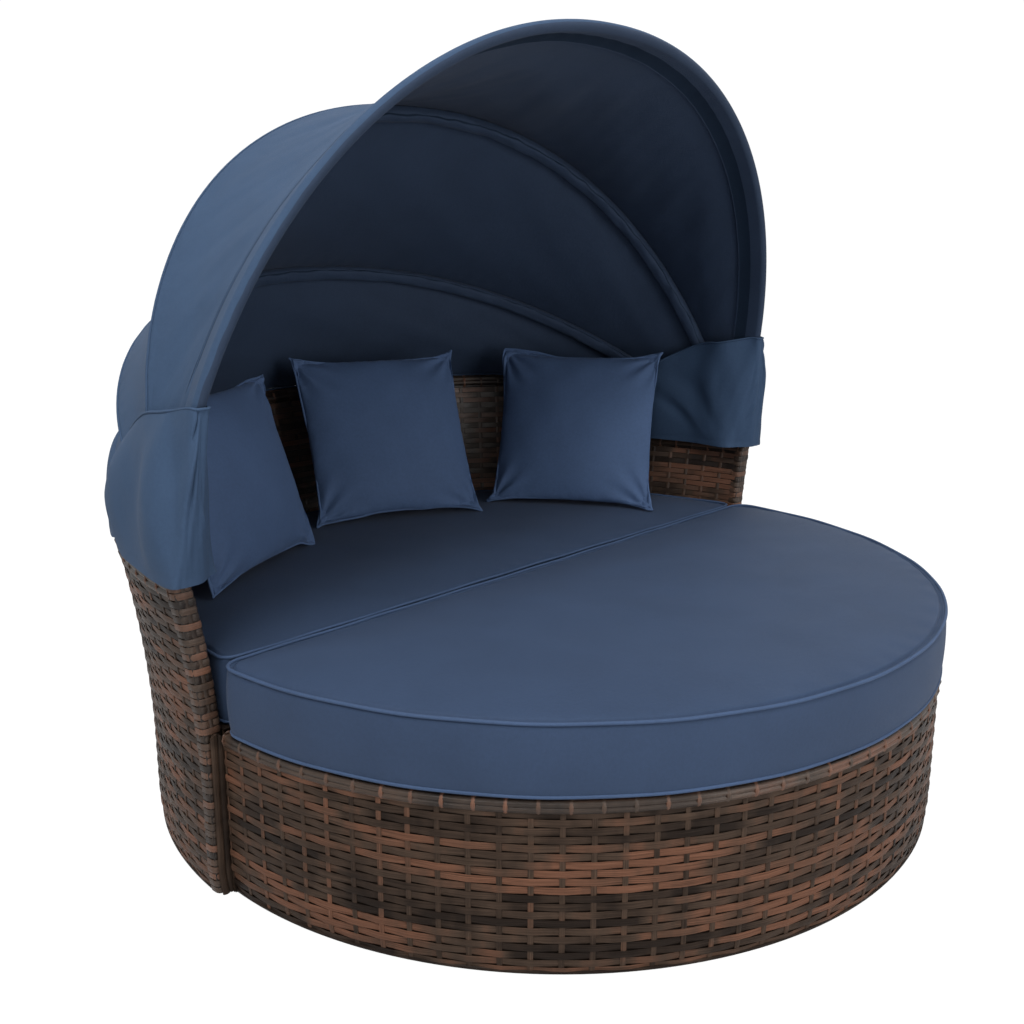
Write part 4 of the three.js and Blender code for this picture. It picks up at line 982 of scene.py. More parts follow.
def half_round(radius, chord, corner, count):
    """The plan of one half: the disc beyond a chord, its two corners rounded."""
    corner_x = math.sqrt((radius - corner) ** 2 - (chord + corner) ** 2)
    corner_y = chord + corner
    tangent = math.atan2(corner_y, corner_x)
    arcs = (
        (corner_x, corner_y, corner, np.linspace(-math.pi / 2, tangent, 60)),
        (0, 0, radius, np.linspace(tangent, math.pi - tangent, 400)),
        (-corner_x, corner_y, corner, np.linspace(math.pi - tangent, 3 * math.pi / 2, 60)),
    )
    path = np.concatenate([
        np.stack([x + reach * np.cos(turn), y + reach * np.sin(turn)], -1) for x, y, reach, turn in arcs
    ])
    path = np.vstack([path, path[:1]])
    run = np.concatenate([[0], np.cumsum(np.linalg.norm(np.diff(path, axis=0), axis=1))])
    wanted = np.linspace(0, run[-1], count, endpoint=False)
    return np.stack([np.interp(wanted, run, path[:, i]) for i in range(2)], -1)


def seat_cushion(name, radius, chord, corner, facing, body, node, seed):
    """A boxed cushion: a bulged border between two lines of piping, and a crowned top."""
    sizes = bpy.context.scene.daybed_sizes
    around, under, border, over = 360, 6, 12, 44
    near_seam = 12
    outline = half_round(radius, chord, corner, around)
    piece = grid(name, around, under + border + over)
    column, line = places_of(piece).T[:2]
    index = np.round(column * around).astype(int) % around
    step = np.round(line * (under + border + over)).astype(int)
    arm = outline[index] - [0, CUSHION_CENTRE]
    length = np.linalg.norm(arm, axis=1)
    bottom = BASE_TOP + 0.0008
    below, above = step <= under, step - under - border
    on_border = (step >= under) & (above <= 0)
    border_share = np.clip((step - under) / border, 0, 1)

    # Share of the way out from the middle: rings are closer together beside the seam
    inner = 0.9664 * (1 - np.clip((above - near_seam) / (over - near_seam), 0, 1) ** 1.2)
    share = np.where(above <= near_seam, 1 - 0.0028 * above, inner)
    share = np.where(step < under, step / under, np.where(above < 0, 1, share))
    bulge = 0.0045 + 0.0012 * ripple(index * 0.13, index * 0.05, seed)
    bulge = np.sin(math.pi * border_share) ** 0.7 * bulge
    draw = np.where(on_border, bulge - SEAM_DRAW, -SEAM_DRAW)
    x, y = (arm * (share * (length + draw) / length)[:, None]).T

    # The top is crowned, lower along the split, with soft waves and small puckers at the seam
    inward = (1 - share) * length
    crown = sizes.cushion_crown * np.maximum(0, 1 - share**9) ** 0.7
    crown = crown * (0.30 + 0.70 * smooth_share(y + CUSHION_CENTRE - chord, 0.0, 0.17))
    crown = crown - 0.0042 * hill(inward, 0.0085, 0.0030)
    soft = ripple(x * 9, y * 9, seed + 1) * 0.0016 * (1 - share**4)
    pucker = np.sin(index * 0.9 + 2 * np.sin(index * 0.11)) * hill(inward, 0.02, 0.02) * 0.0006
    top = SEAM_HEIGHT + crown + soft + pucker
    height = np.where(above <= 0, mix(bottom, SEAM_HEIGHT, border_share), top)
    dent = np.where(below, 0.0012 * (1 - share), 0)
    set_places(piece, stack(x, facing * (y + CUSHION_CENTRE) + PLAN_Y, height + dent))
    set_uv(piece, np.where(above > 0, x, index * 0.0112), np.where(above > 0, y, height))
    weld(piece, 2e-4)
    smooth(piece, 60)
    dress(piece, "Cushion cloth", body, node)

    edge = outline - [0, CUSHION_CENTRE]
    far = np.linalg.norm(edge, axis=1, keepdims=True)
    x, y = (edge * (far - SEAM_DRAW + 0.0006) / far + [0, CUSHION_CENTRE]).T
    wave = CORD_WAVE * np.sin(np.arange(around) * 0.35)
    seams = {"top": SEAM_HEIGHT + 0.0018, "bottom": bottom + sizes.piping_radius + 0.0004}
    for place, height in seams.items():
        piping = ring(f"{name}_piping_{place}", around, 8)
        path = stack(x, facing * y + PLAN_Y, height + wave)
        tube_on_path(piping, path, sizes.piping_radius, closed=True)
        face_out(piping)
        smooth(piping)
        dress(piping, "Piping cloth", body)


class DAYBED_OT_cushions(bpy.types.Operator):
    """Make the two boxed seat cushions with their piping"""

    bl_idname = "daybed.cushions"
    bl_label = "Seat Cushions"

    def execute(self, context):
        seat_cushion(
            "sofa_cushion", SOFA_CUSHION_RADIUS, SOFA_FRONT, 0.020, 1, "sofa", "sofa_seat_cushion", 41
        )
        seat_cushion(
            "ottoman_cushion", CUSHION_RADIUS, -OTTOMAN_BACK, 0.038, -1, "ottoman",
            "ottoman_seat_cushion", 43,
        )
        return {"FINISHED"}


# Throw pillows

# Place in cushion radii, turn, lean, share of the full height and seed
PILLOWS = {
    "left": ((-0.541, 0.501), 25.5, 17, 0.92, 60),
    "middle": ((0.055, 0.647), -22.8, 27.5, 1.0, 61),
    "right": ((0.536, 0.385), -58.5, 28.5, 1.0, 62),
}
PILLOW_HALF = 0.200
SIDE_DRAW = 0.035
PUFF = {"pressure": 4.0, "frames": 14, "cap": 0.012, "stretch": -0.03}


def puff_up(piece, pressure, frames, cap, stretch):
    """Blows a sewn shell up with the cloth solver, and caps how far any point may move."""
    start = places_of(piece)
    pick(piece)
    cloth = piece.modifiers.new("Cloth", "CLOTH")
    cloth.settings.use_pressure = True
    cloth.settings.uniform_pressure_force = pressure
    cloth.settings.shrink_min = stretch
    cloth.settings.tension_stiffness = 12
    cloth.settings.compression_stiffness = 12
    cloth.settings.shear_stiffness = 6
    cloth.settings.bending_stiffness = 0.25
    cloth.settings.quality = 6
    cloth.settings.effector_weights.gravity = 0
    cloth.point_cache.frame_start = 1
    cloth.point_cache.frame_end = frames
    scene = bpy.context.scene
    for number in range(1, frames + 1):
        scene.frame_set(number)
    bpy.ops.object.modifier_apply(modifier=cloth.name)
    scene.frame_set(1)
    moved = places_of(piece) - start
    far = np.linalg.norm(moved, axis=1, keepdims=True)
    set_places(piece, start + moved * np.minimum(1, cap / np.maximum(far, 1e-9)))


def pillow_shell(name, thickness):
    """Two square faces sewn together round their edge, the corners pointed and the sides drawn in."""
    front = grid(name, 44, 44)
    a, b = np.sin(math.pi * (places_of(front).T[:2] - 0.5))
    plump = np.maximum(0, (1 - a**2) * (1 - b**2)) ** 0.50
    x = PILLOW_HALF * a * (1 - SIDE_DRAW * (1 - b**2))
    z = PILLOW_HALF * b * (1 - SIDE_DRAW * (1 - a**2))
    set_places(front, stack(x, thickness / 2 * plump, z))
    set_uv(front, x, z)
    edge = np.maximum(np.abs(a), np.abs(b)) > 0.9999
    set_mark(front, "rim", np.where(edge, 1 + np.arctan2(b, a) % (2 * math.pi), 0))
    pick(front)
    bpy.ops.object.duplicate()
    back = bpy.context.active_object
    set_places(back, places_of(back) * [1, -1, 1])
    join(front, back)
    weld(front, 1e-5)
    return front


def stand_pillow(places, side, lift):
    """Leans, turns and sets down places of a pillow that lies round its own foot."""
    place, turn, lean, tall, _ = PILLOWS[side]
    lean, turn = math.radians(-lean), math.radians(turn)
    x, y, z = (places * [1, 1, tall] + [0, 0, PILLOW_HALF * tall]).T
    y, z = y * math.cos(lean) - z * math.sin(lean), y * math.sin(lean) + z * math.cos(lean)
    x, y = x * math.cos(turn) - y * math.sin(turn), x * math.sin(turn) + y * math.cos(turn)
    return stack(x + place[0] * CUSHION_RADIUS, y + place[1] * CUSHION_RADIUS + PLAN_Y, z + lift)


def creases(places, seed):
    """Soft creases that run out from a pillow's corners and small puckers along its seam."""
    x, _, z = places.T
    a, b = np.abs(x) / PILLOW_HALF, np.abs(z) / PILLOW_HALF
    far, way = np.hypot(1 - a, 1 - b), np.arctan2(1 - b, 1 - a)
    shift = np.random.RandomState(seed).uniform(0, 2 * math.pi, 4)[(x > 0) * 2 + (z > 0)]
    fan = np.sin(way * 13 + shift) * smooth_share(far, 0.05, 0.22) * (1 - smooth_share(far, 0.25, 0.75))
    along = np.where(a > b, z, x)
    pucker = np.sin(along * 210 + 2 * np.sin(along * 41 + shift))
    pucker = pucker * hill(np.minimum(1 - a, 1 - b), 0.07, 0.06)
    return 0.0034 * fan + 0.0011 * pucker


def seam_of(piece):
    """The line round a pillow's seam, a little smoothed."""
    rim = mark_of(piece, "rim")
    line = places_of(piece)[rim > 0.5][np.argsort(rim[rim > 0.5])]
    for _ in range(2):
        line = 0.5 * line + 0.25 * (np.roll(line, 1, axis=0) + np.roll(line, -1, axis=0))
    return line


def throw_pillow(side):
    """A pillow that leans on the wall, with its piping."""
    sizes = bpy.context.scene.daybed_sizes
    seed = PILLOWS[side][-1]
    name = "pillow_" + side
    piece = pillow_shell(name, sizes.pillow_thickness * 0.90)
    x, y, z = places_of(piece).T
    waves = ripple(x * 16, z * 16, seed) * 0.003 * (mark_of(piece, "rim") < 0.5)
    set_places(piece, stack(x, y + np.sign(y) * waves, z))
    puff_up(piece, **PUFF)
    seam = seam_of(piece)
    apply_modifier(piece, "SUBSURF", levels=1, render_levels=1)
    piping = ring(name + "_piping", len(seam) * 2, 8)
    tube_on_path(piping, seam, sizes.piping_radius * 0.90, closed=True, upward=(0, 1, 0))
    face_out(piping)
    shell = places_of(piece)
    shell[:, 1] += np.sign(shell[:, 1]) * np.minimum(creases(shell, seed), np.abs(shell[:, 1]) * 0.4)
    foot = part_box("throw_pillow_" + side)[0].z
    lift = foot - stand_pillow(shell, side, 0.0)[:, 2].min() + 0.001
    set_places(piece, stand_pillow(shell, side, lift))
    set_places(piping, stand_pillow(places_of(piping), side, lift))
    smooth(piece, 80)
    smooth(piping)
    dress(piece, "Pillow cloth", "sofa", "throw_pillow_" + side)
    dress(piping, "Pillow piping", "sofa")


class DAYBED_OT_pillows(bpy.types.Operator):
    """Make the three throw pillows"""

    bl_idname = "daybed.pillows"
    bl_label = "Throw Pillows"

    def execute(self, context):
        for side in PILLOWS:
            throw_pillow(side)
        return {"FINISHED"}


# Canopy

SAGS = {"front": 0.030, "middle": 0.026, "rear": 0.018}
FLAP_DEPTH = 0.0045
SEAM_LIFT = 0.0024
HOOP_PIPING = 0.0026
SEAM_OVERLAP = 0.005
INSIDE = np.array([0, PIVOT_Y, PIVOT_Z + 0.3])
COLUMNS = 240
# Distance from the hem's seam and lift of each line of its two stitched ridges
HEM_SEAM = (
    (-0.007, 0.0), (-0.0055, -0.0011), (-0.004, 0.0008), (-0.002, 0.0012), (0.0, -0.0013),
    (0.0015, 0.0016), (0.003, 0.0016), (0.0045, -0.0006), (0.007, 0.0),
)
# The flap's rows take the darker inner cloth and the seam rows a dark material: painted shade.
FLAP_ROWS, STITCH_ROWS = 8, (1, 15, 18)


def hoop_frame(place, angle):
    """A hoop at its parameter: the tube's centre, the way out and the way forward."""
    half_width, rise, tilt, fullness = HOOPS[place]
    power = 2 / fullness
    x = half_width * signed_power(np.cos(angle), power)
    height = rise * np.abs(np.sin(angle)) ** power
    slope_x = np.sign(x) * np.abs(x / half_width) ** (fullness - 1) / half_width
    slope_height = np.abs(height / rise) ** (fullness - 1) / rise
    up = np.array([0, -math.sin(tilt), math.cos(tilt)])
    forward = np.array([0, -math.cos(tilt), -math.sin(tilt)])
    across = np.array([1.0, 0, 0])
    outward = unit(np.multiply.outer(slope_x, across) + np.multiply.outer(slope_height, up))
    centre = np.multiply.outer(x, across) + np.multiply.outer(height, up) + [0, PIVOT_Y, PIVOT_Z]
    return centre, outward, forward


def leg_angle(place, height):
    _, rise, _, fullness = HOOPS[place]
    return math.asin((height / rise) ** (fullness / 2))


def along_hoop(place, share):
    foot = leg_angle(place, PANEL_FOOT)
    return hoop_frame(place, foot + (math.pi - 2 * foot) * share)


def cover_point(place, along, turn=0.0, lift=0.0):
    """A point of the cloth that lies round a hoop, at a turn from its outward way."""
    centre, outward, forward = along_hoop(place, along)
    return round_about(centre, outward, forward, turn + 0 * along, COVER[place] + lift)


def leaving_turn(place, along, target, inner=False):
    """The turn at which cloth that comes from a target touches the cover of a hoop."""
    centre, outward, forward = along_hoop(place, along)
    way = target - centre
    out = (way * outward).sum(-1)
    fore = (way * forward).sum(-1)
    opening = np.arccos(np.minimum(1, COVER[place] / np.hypot(out, fore)))
    if inner:
        return 2 * math.pi + np.arctan2(fore, out) - opening
    return np.arctan2(fore, out) - np.sign(fore) * opening


def sag_point(start, end, inward, share, sag, along, seed):
    """A point of a panel between two lines: a sag with slow waves, and puckers beside both lines."""
    swell = np.sin(math.pi * np.clip(along, 0, 1)) ** 0.6
    wide = 4 * share * (1 - share)
    folds = 0.0030 * np.sin(2 * math.pi * 7 * along) * share * (1 - share)
    folds = folds + 0.0052 * wide * ripple(along * 15 + share * 4, share * 3, seed) * swell
    near = hill(share, 0, 0.10) + hill(share, 1, 0.10)
    folds = folds + 0.0011 * near * np.sin(along * 260 + 3 * np.sin(along * 37)) * wide**0.3
    drop = wide * sag * swell + folds
    return mix(start, end, share[..., None]) + inward * drop[..., None]


def stretch_point(first, last, share, along, seed, push=0.0):
    """A point of the panel between two hoops, pushed inwards by a depth."""
    inward = -unit(along_hoop(first, along)[1] + along_hoop(last, along)[1])
    start, end = cover_point(first, along), cover_point(last, along)
    return sag_point(start, end, inward, share, SAGS[first], along, seed) + inward * push


def ridge_point(along):
    """The line along the wall's top edge that the rear panel comes down to."""
    start = math.radians(10)
    angle = start + (math.pi - 2 * start) * along
    return polar(wall_radius(wall_top(angle)) - ROLL_RADIUS, angle, wall_top(angle) + 0.0020)


def front_cloth(share, along):
    return stretch_point("front", "middle", share, along, 71)


def middle_cloth(share, along):
    return stretch_point("middle", "rear", share, along, 72)


def rear_cloth(share, along):
    inward = -along_hoop("rear", along)[1]
    return sag_point(cover_point("rear", along), ridge_point(along), inward, share, SAGS["rear"], along, 73)


# The cloth before and behind each of the two inner hoops
NEIGHBOURS = {"middle": (front_cloth, middle_cloth), "rear": (middle_cloth, rear_cloth)}


def seam_turns(place, along):
    """The turns at which cloth comes to a hoop's cover, meets its seam and leaves again."""
    before, after = NEIGHBOURS[place]
    near = np.full_like(along, 0.95)
    coming = leaving_turn(place, along, before(near, along))
    going = leaving_turn(place, along, after(1 - near, along))
    return coming, (coming + going) / 2, going


def hem_share(along):
    """The share of the front panel's depth that its hem takes."""
    width = np.linalg.norm(cover_point("front", along) - cover_point("middle", along), axis=-1)
    return np.minimum(bpy.context.scene.daybed_sizes.hem_depth / width, 0.45)


# Stations: lines of cloth from side to side, each a function of the share along its hoops


def flap_at(part):
    """The hem's inner flap, at a part of its depth."""
    return lambda along: stretch_point("front", "middle", hem_share(along) * part, along, 71, FLAP_DEPTH)


def hem_turn(part):
    """The cloth round the front hoop, from the flap to the outer face."""

    def station(along):
        leaving = leaving_turn("front", along, front_cloth(np.full_like(along, 0.05), along))
        inner = leaving_turn("front", along, flap_at(1.0)(along), inner=True)
        return cover_point("front", along, mix(inner, leaving, part))

    return station


def hem_seam(offset, lift):
    """A line of the stitched seam along the hem, lifted off the cloth."""

    def station(along):
        depth = bpy.context.scene.daybed_sizes.hem_depth
        point = front_cloth(hem_share(along) * (1 + offset / depth), along)
        return point + unit(point - INSIDE) * lift

    return station


def panel_at(cloth, share, crease=0.0):
    """A panel at a share of its depth, with creases that fan out from its feet."""
    taut = smooth_share(share, 0.16, 0.42) * (1 - smooth_share(share, 0.80, 0.95))

    def station(along):
        point = cloth(np.full_like(along, share), along)
        foot = np.minimum(along, 1 - along)
        wave = ripple(foot * 58 + share * 5.2, share * 2.2 + along * 3, 74)
        return point + unit(point - INSIDE) * (wave * crease * taut)[:, None]

    return station


def wrap(place, part):
    """The cloth over an inner hoop: up to its seam for parts to 1, and from there on for parts to 2."""

    def station(along):
        coming, seam, going = seam_turns(place, along)
        turn = mix(coming, seam + SEAM_OVERLAP, part)
        if part > 1:
            turn = mix(seam - SEAM_OVERLAP, going, part - 1)
        return cover_point(place, along, turn)

    return station


def arriving(place):
    """The last stations of a panel, on the hoop behind it, each with a weight of 0."""
    return [(wrap(place, part), 0.0) for part in (0.0, 0.35, 0.7, 1.0)]


def setting_out(place):
    """The first stations of a panel, on the hoop before it, each with a weight of 1."""
    return [(wrap(place, part), 1.0) for part in (1.01, 1.3, 1.65, 2.0)]


def panel(cloth, shares, crease=0.0):
    """The stations of a panel's free cloth, each with a weight of one less its share."""
    return [(panel_at(cloth, share, crease), 1 - share) for share in shares]


def panel_stations():
    """The stations of the three panels, each with its share of the forward hoop's motion."""
    front = [(flap_at(1.0), 0.88), (flap_at(0.97), 0.88), (flap_at(0.5), 0.94)]
    front += [(hem_turn(number / 9), 1.0) for number in range(10)]
    front += [(panel_at(front_cloth, 0.05), 0.95)]
    front += [(hem_seam(offset, lift), 0.86) for offset, lift in HEM_SEAM]
    front += panel(front_cloth, np.linspace(0.24, 0.95, 22), 0.0030) + arriving("middle")
    middle = panel(middle_cloth, np.linspace(0.05, 0.95, 26))
    middle = setting_out("middle") + middle + arriving("rear")
    rear = setting_out("rear") + panel(rear_cloth, np.linspace(0.05, 1.0, 24))
    return {"front": front, "middle": middle, "rear": rear}


def cloth_sheet(name, stations):
    """A sheet through stations; marks keep each point's share of the motion and its share across."""
    last = len(stations) - 1
    piece = grid(name, COLUMNS, last)
    along, across, _ = places_of(piece).T
    row = np.round(across * last).astype(int)
    places = np.zeros((len(row), 3))
    for number, (station, _) in enumerate(stations):
        places[row == number] = station(along[row == number])
    set_places(piece, places)
    line = np.array([station(np.array([0.5]))[0] for station, _ in stations])
    run = np.concatenate([[0], np.cumsum(np.linalg.norm(np.diff(line, axis=0), axis=1))])
    set_uv(piece, along * 2.4, run[row])
    set_mark(piece, "ride", np.array([weight for _, weight in stations])[row])
    set_mark(piece, "across", row / last)
    return piece


def thicken(piece, outward_from, inner="Canopy cloth"):
    """Gives a sheet its thickness towards the outside, with a cloth of its own on the inner face; the
    panels get the darker underside there, painted shade.
    """
    normals = np.empty(len(piece.data.vertices) * 3, dtype=np.float32)
    piece.data.vertices.foreach_get("normal", normals)
    facing = ((places_of(piece) - outward_from) * normals.reshape(-1, 3)).sum(1).mean()
    if facing < 0:
        in_edit_mode(piece, lambda: bpy.ops.mesh.flip_normals())
    for name in ("Canopy cloth", inner):
        piece.data.materials.append(bpy.data.materials[name])
    thickness = bpy.context.scene.daybed_sizes.cloth_thickness
    apply_modifier(piece, "SOLIDIFY", thickness=thickness, offset=1.0, material_offset=1)


def line_faces(piece, rows):
    """Gives the flap of the front panel the darker inner cloth, painted shade, and its rows of stitches a
    dark material, painted shade in the seam's grooves.
    """
    spot = mark_of(piece, "across") * (rows - 1)
    piece.data.materials.append(bpy.data.materials["Seam thread"])
    for face in piece.data.polygons:
        row = int(np.mean([spot[corner] for corner in face.vertices]))
        if row in STITCH_ROWS:
            face.material_index = 2
        elif row < FLAP_ROWS:
            face.material_index = 1


def blend_by_mark(piece, first, last):
    """Bakes a sheet's transform into its mesh and reads the weights of its mark; the two bodies, first and
    last, are not used.
    """
    weights = mark_of(piece, "ride")
    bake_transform(piece)


def cloth_piping(name, path, radius, body, upward=(0, 0, 1)):
    """A thin cord along a seam of the canopy."""
    piping = bar(name, 8, len(path))
    tube_on_path(piping, path, radius, upward=upward)
    face_out(piping)
    smooth(piping, 60)
    dress(piping, "Canopy cloth", body)
    return piping


def hoop_piping(place):
    """The cord along the seam over an inner hoop."""
    along = np.linspace(0.03, 0.97, 240)
    path = cover_point(place, along, seam_turns(place, along)[1], SEAM_LIFT)
    outward = along_hoop(place, along)[1]
    return cloth_piping("canopy_piping_" + place, path, HOOP_PIPING, place + "_hoop", outward)


def hoop_pocket(place, foot_share):
    """The cloth pocket sewn round a hoop, boxy in section, loose and puckered on its inner side."""
    piece = bar("canopy_pocket_" + place, 28, 520)
    x, y, z = places_of(piece).T
    turn = np.arctan2(z, y)
    share = mix(foot_share, 1 - foot_share, x)
    centre, outward, forward = along_hoop(place, share)
    inner = 0.5 - 0.5 * np.cos(turn)
    pucker = (np.abs(ripple(share * 430, turn * 1.3, 81)) - 0.35) * 0.0068
    pucker = pucker + ripple(share * 90, turn, 82) * 0.0018
    seam = hill(np.abs(turn), 2.0, 0.10) * 0.0018
    out = signed_power(np.cos(turn), 0.55) * 0.0116 - 0.0050 * inner**2 + pucker * inner**1.5 + seam
    fore = signed_power(np.sin(turn), 0.55) * (0.0138 + 0.3 * pucker * inner) * (1 - 60 * seam)
    closed = np.hypot(y, z) > 0.01
    set_places(piece, centre + outward * (out * closed)[:, None] + np.outer(fore * closed, forward))
    set_uv(piece, share * 2.3, turn * 0.012)
    face_out(piece)
    smooth(piece, 60)
    # The pocket takes the darker underside colour: painted shade inside the canopy.
    dress(piece, "Pocket cloth", place + "_hoop", "canopy_sleeve_" + place)
    # Faces on the pocket's seam lines take a dark material: painted shade in the seam's grooves.
    piece.data.materials.append(bpy.data.materials["Seam thread"])
    for face in piece.data.polygons:
        on_seam = abs(np.mean([abs(turn[corner]) for corner in face.vertices]) - 2.13) < 0.11
        face.material_index = int(on_seam and len(face.vertices) == 4)
    return piece


# The bodies behind and ahead of a panel, its flat width, length and area, and the first share of its hoop's
# pocket
PANELS = {
    "front": ("middle_hoop", "front_hoop", (0.62, 2.55), 1.07, None),
    "middle": ("rear_hoop", "middle_hoop", (0.52, 2.45), 0.76, 0.026),
    "rear": ("sofa", "rear_hoop", (0.33, 2.40), 0.48, 0.036),
}


class DAYBED_OT_panels(bpy.types.Operator):
    """Make the canopy's three cloth panels, their pockets and piping"""

    bl_idname = "daybed.panels"
    bl_label = "Canopy Panels"

    def execute(self, context):
        stations = panel_stations()
        for place, (behind, ahead, flat, area, foot_share) in PANELS.items():
            piece = cloth_sheet(f"canopy_{place}_cloth", stations[place])
            # The inner face takes the darker underside cloth: painted shade.
            thicken(piece, INSIDE, "Canopy underside")
            if place == "front":
                line_faces(piece, len(stations[place]))
            trims = [hoop_pocket(place, foot_share), hoop_piping(place)] if foot_share else []
            smooth(piece, 60)
            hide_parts("canopy_panel_" + place)
            blend_by_mark(piece, behind, ahead)
        return {"FINISHED"}


# Skirts and valance

SKIRT_HEM = ARM_HEIGHT - 0.005
SKIRT_SEAM = {"front": 0.809, "middle": 0.784, "rear": 0.754}
SKIRT_PIPING = 0.0024
VALANCE_START, VALANCE_END = 0.105, 0.895
# Two ends in shares of the skirt's run and rise, then width and height of each drawn fold
SKIRT_FOLDS = (
    ((0.985, 0.74), (0.905, 0.16), 0.013, -0.0064),
    ((0.950, 0.82), (0.820, 0.18), 0.020, -0.0056),
    ((0.965, 0.62), (0.865, 0.10), 0.011, 0.0032),
    ((0.545, 0.42), (0.640, 0.28), 0.008, 0.0040),
)
SKIRT_SPREAD = np.array([0.85, 0.26])


def curve_through(points, share):
    """A smooth curve through points, at shares of its run."""
    spot = np.clip(share, 0, 1) * (len(points) - 1)
    low = np.clip(np.floor(spot).astype(int), 0, len(points) - 2)
    t = (spot - low)[:, None]
    padded = np.vstack([2 * points[0] - points[1], points, 2 * points[-1] - points[-2]])
    a, b, c, d = (padded[low + i] for i in range(4))
    return 0.5 * (2 * b + (c - a) * t + (2 * a - 5 * b + 4 * c - d) * t**2 + (3 * b - a - 3 * c + d) * t**3)


def leg_centre(place, height):
    tilt = HOOPS[place][2]
    angle = leg_angle(place, (height - PIVOT_Z) / math.cos(tilt))
    return hoop_frame(place, np.array([angle]))[0][0]


def skirt_top():
    """The seam along the top of the right skirt, from outside round the front hoop to inside."""
    front, middle, rear = (leg_centre(*leg) for leg in SKIRT_SEAM.items())
    between = (front + middle) / 2
    outer_end = mix(middle, rear, 0.45) - [0, 0, 0.026]
    inner_end = mix(middle, rear, 0.75) - [0, 0, 0.055]
    reach = COVER["middle"] + 0.0025
    outer, inner = reach + 0.002, -reach - 0.004
    turn = COVER["front"] + 0.0025 + 0.002
    hub = 0.012
    spots = (
        (outer_end, outer, 0), (middle, outer, 0), (between, outer, 0), (front, turn, -hub),
        (front, 0.8 * turn, 0.8 * turn), (front, 0, turn), (front, -0.8 * turn, 0.8 * turn),
        (front, -turn, -hub), (between, inner - 0.015, 0), (middle, inner, 0), (inner_end, inner, 0),
    )
    points, out, ahead = (np.array(column, dtype=float) for column in zip(*spots))
    ways = unit((points - [0, PLAN_Y, 0]) * [1, 1, 0])
    return points + ways * out[:, None] - stack(0 * ahead, ahead, 0)


def skirt_hem():
    """The hem along the foot of the right skirt, from outside round the arm's end to inside."""
    outer = float(wall_radius(ARM_HEIGHT)) + 0.007
    inner = float(wall_radius(ARM_HEIGHT)) - WALL_THICK - 0.007
    front_line = SOFA_FRONT + PLAN_Y - 0.020
    return np.array([
        *[polar(outer, share * math.radians(20.5), SKIRT_HEM) for share in (1, 0.7, 0.35)],
        (outer - 0.003, front_line + 0.010, SKIRT_HEM),
        (outer - 0.017, front_line, SKIRT_HEM),
        (0.7900, front_line - 0.001, SKIRT_HEM),
        (0.7690, front_line + 0.003, SKIRT_HEM),
        (0.7440, front_line + 0.024, SKIRT_HEM),
        (0.7190, PIVOT_Y - 0.008, SKIRT_HEM),
        polar(inner - 0.024, 0.6 * math.radians(21.5), SKIRT_HEM),
        polar(inner - 0.012, math.radians(21.5), SKIRT_HEM),
    ])


def fold_line(run, rise, start, end, width, height):
    """A soft ridge, or a valley, along a line of a skirt."""
    first, last = np.array(start) * SKIRT_SPREAD, np.array(end) * SKIRT_SPREAD
    point = np.stack([run, rise], -1) * SKIRT_SPREAD
    way = last - first
    along = np.clip((point - first) @ way / (way @ way), 0, 1)
    beside = np.linalg.norm(point - first - along[:, None] * way, axis=1)
    return height * hill(beside, 0, width) * (0.35 + 0.65 * np.sin(math.pi * along))


def skirt_folds(run, rise, lively, seed):
    """How far each point stands out: upright folds outside, drawn folds, ripples and a pinched corner."""
    wave = np.cos(2 * math.pi * (run + 0.05 * rise - 0.045) / 0.20)
    folds = 0.0092 * lively * wave * (1 - smooth_share(run, 0.30, 0.42))
    for drawn in SKIRT_FOLDS:
        folds = folds + fold_line(run, rise, *drawn) * lively**0.3
    folds = folds + 0.0024 * lively**0.5 * ripple(run * 22 + rise * 3, rise * 4, seed)
    pinch = hill(run + 0.30 * (1 - rise), 0.44, 0.012)
    folds = folds - 0.009 * pinch * smooth_share(rise, 0.80, 0.93) * (1 - smooth_share(rise, 0.965, 1.0))
    gather_run, gather_rise = (0.46 - run) * SKIRT_SPREAD[0], (0.95 - rise) * SKIRT_SPREAD[1]
    near, angle = np.hypot(gather_run, gather_rise), np.arctan2(gather_rise, gather_run)
    spray = smooth_share(near, 0.01, 0.06) * (1 - smooth_share(near, 0.10, 0.26))
    spray = spray * np.sin(8.0 * angle + 1.2) * (1 - smooth_share(run, 0.42, 0.48))
    return folds + 0.0036 * spray * lively**0.3


def skirt_places(run, rise, seed):
    """Places of the right skirt at shares of its run and rise, and the way out from the wall there."""
    top, hem = skirt_top(), skirt_hem()
    low, high = curve_through(hem, run), curve_through(top, run)
    low[:, 2] += 0.034 * (1 - smooth_share(run, 0.0, 0.13)) ** 2
    low[:, 2] += 0.010 * (1 - smooth_share(run, 0.10, 0.30))
    point = mix(low, high, rise[:, None])
    shifts = np.linspace(-0.09, 0.09, 7)
    round_low, round_high = (
        sum(curve_through(line, run + shift) for shift in shifts) / len(shifts) for line in (hem, top)
    )
    lively = np.sin(math.pi * np.clip(rise, 0, 1))
    softness = lively * smooth_share(run, 0.10, 0.2) * (1 - smooth_share(run, 0.8, 0.9))
    point = mix(point, mix(round_low, round_high, rise[:, None]), softness[:, None])
    pivot = np.array([FRONT_HALF_WIDTH - HUB_SPACING, PIVOT_BEHIND, 0])
    flat = point * [1, 1, 0] - [0, PLAN_Y, 0]
    nearest = np.where(flat[:, 1:2] > pivot[1], unit(flat) * np.linalg.norm(pivot), pivot)
    away = unit(flat - nearest)
    swell = lively**0.8 * (0.016 - 0.013 * hill(run, 0.52, 0.13))
    swell = swell * (1 - 0.85 * smooth_share(run, 0.50, 0.62))
    return point + away * (swell + skirt_folds(run, rise, lively, seed))[:, None], away


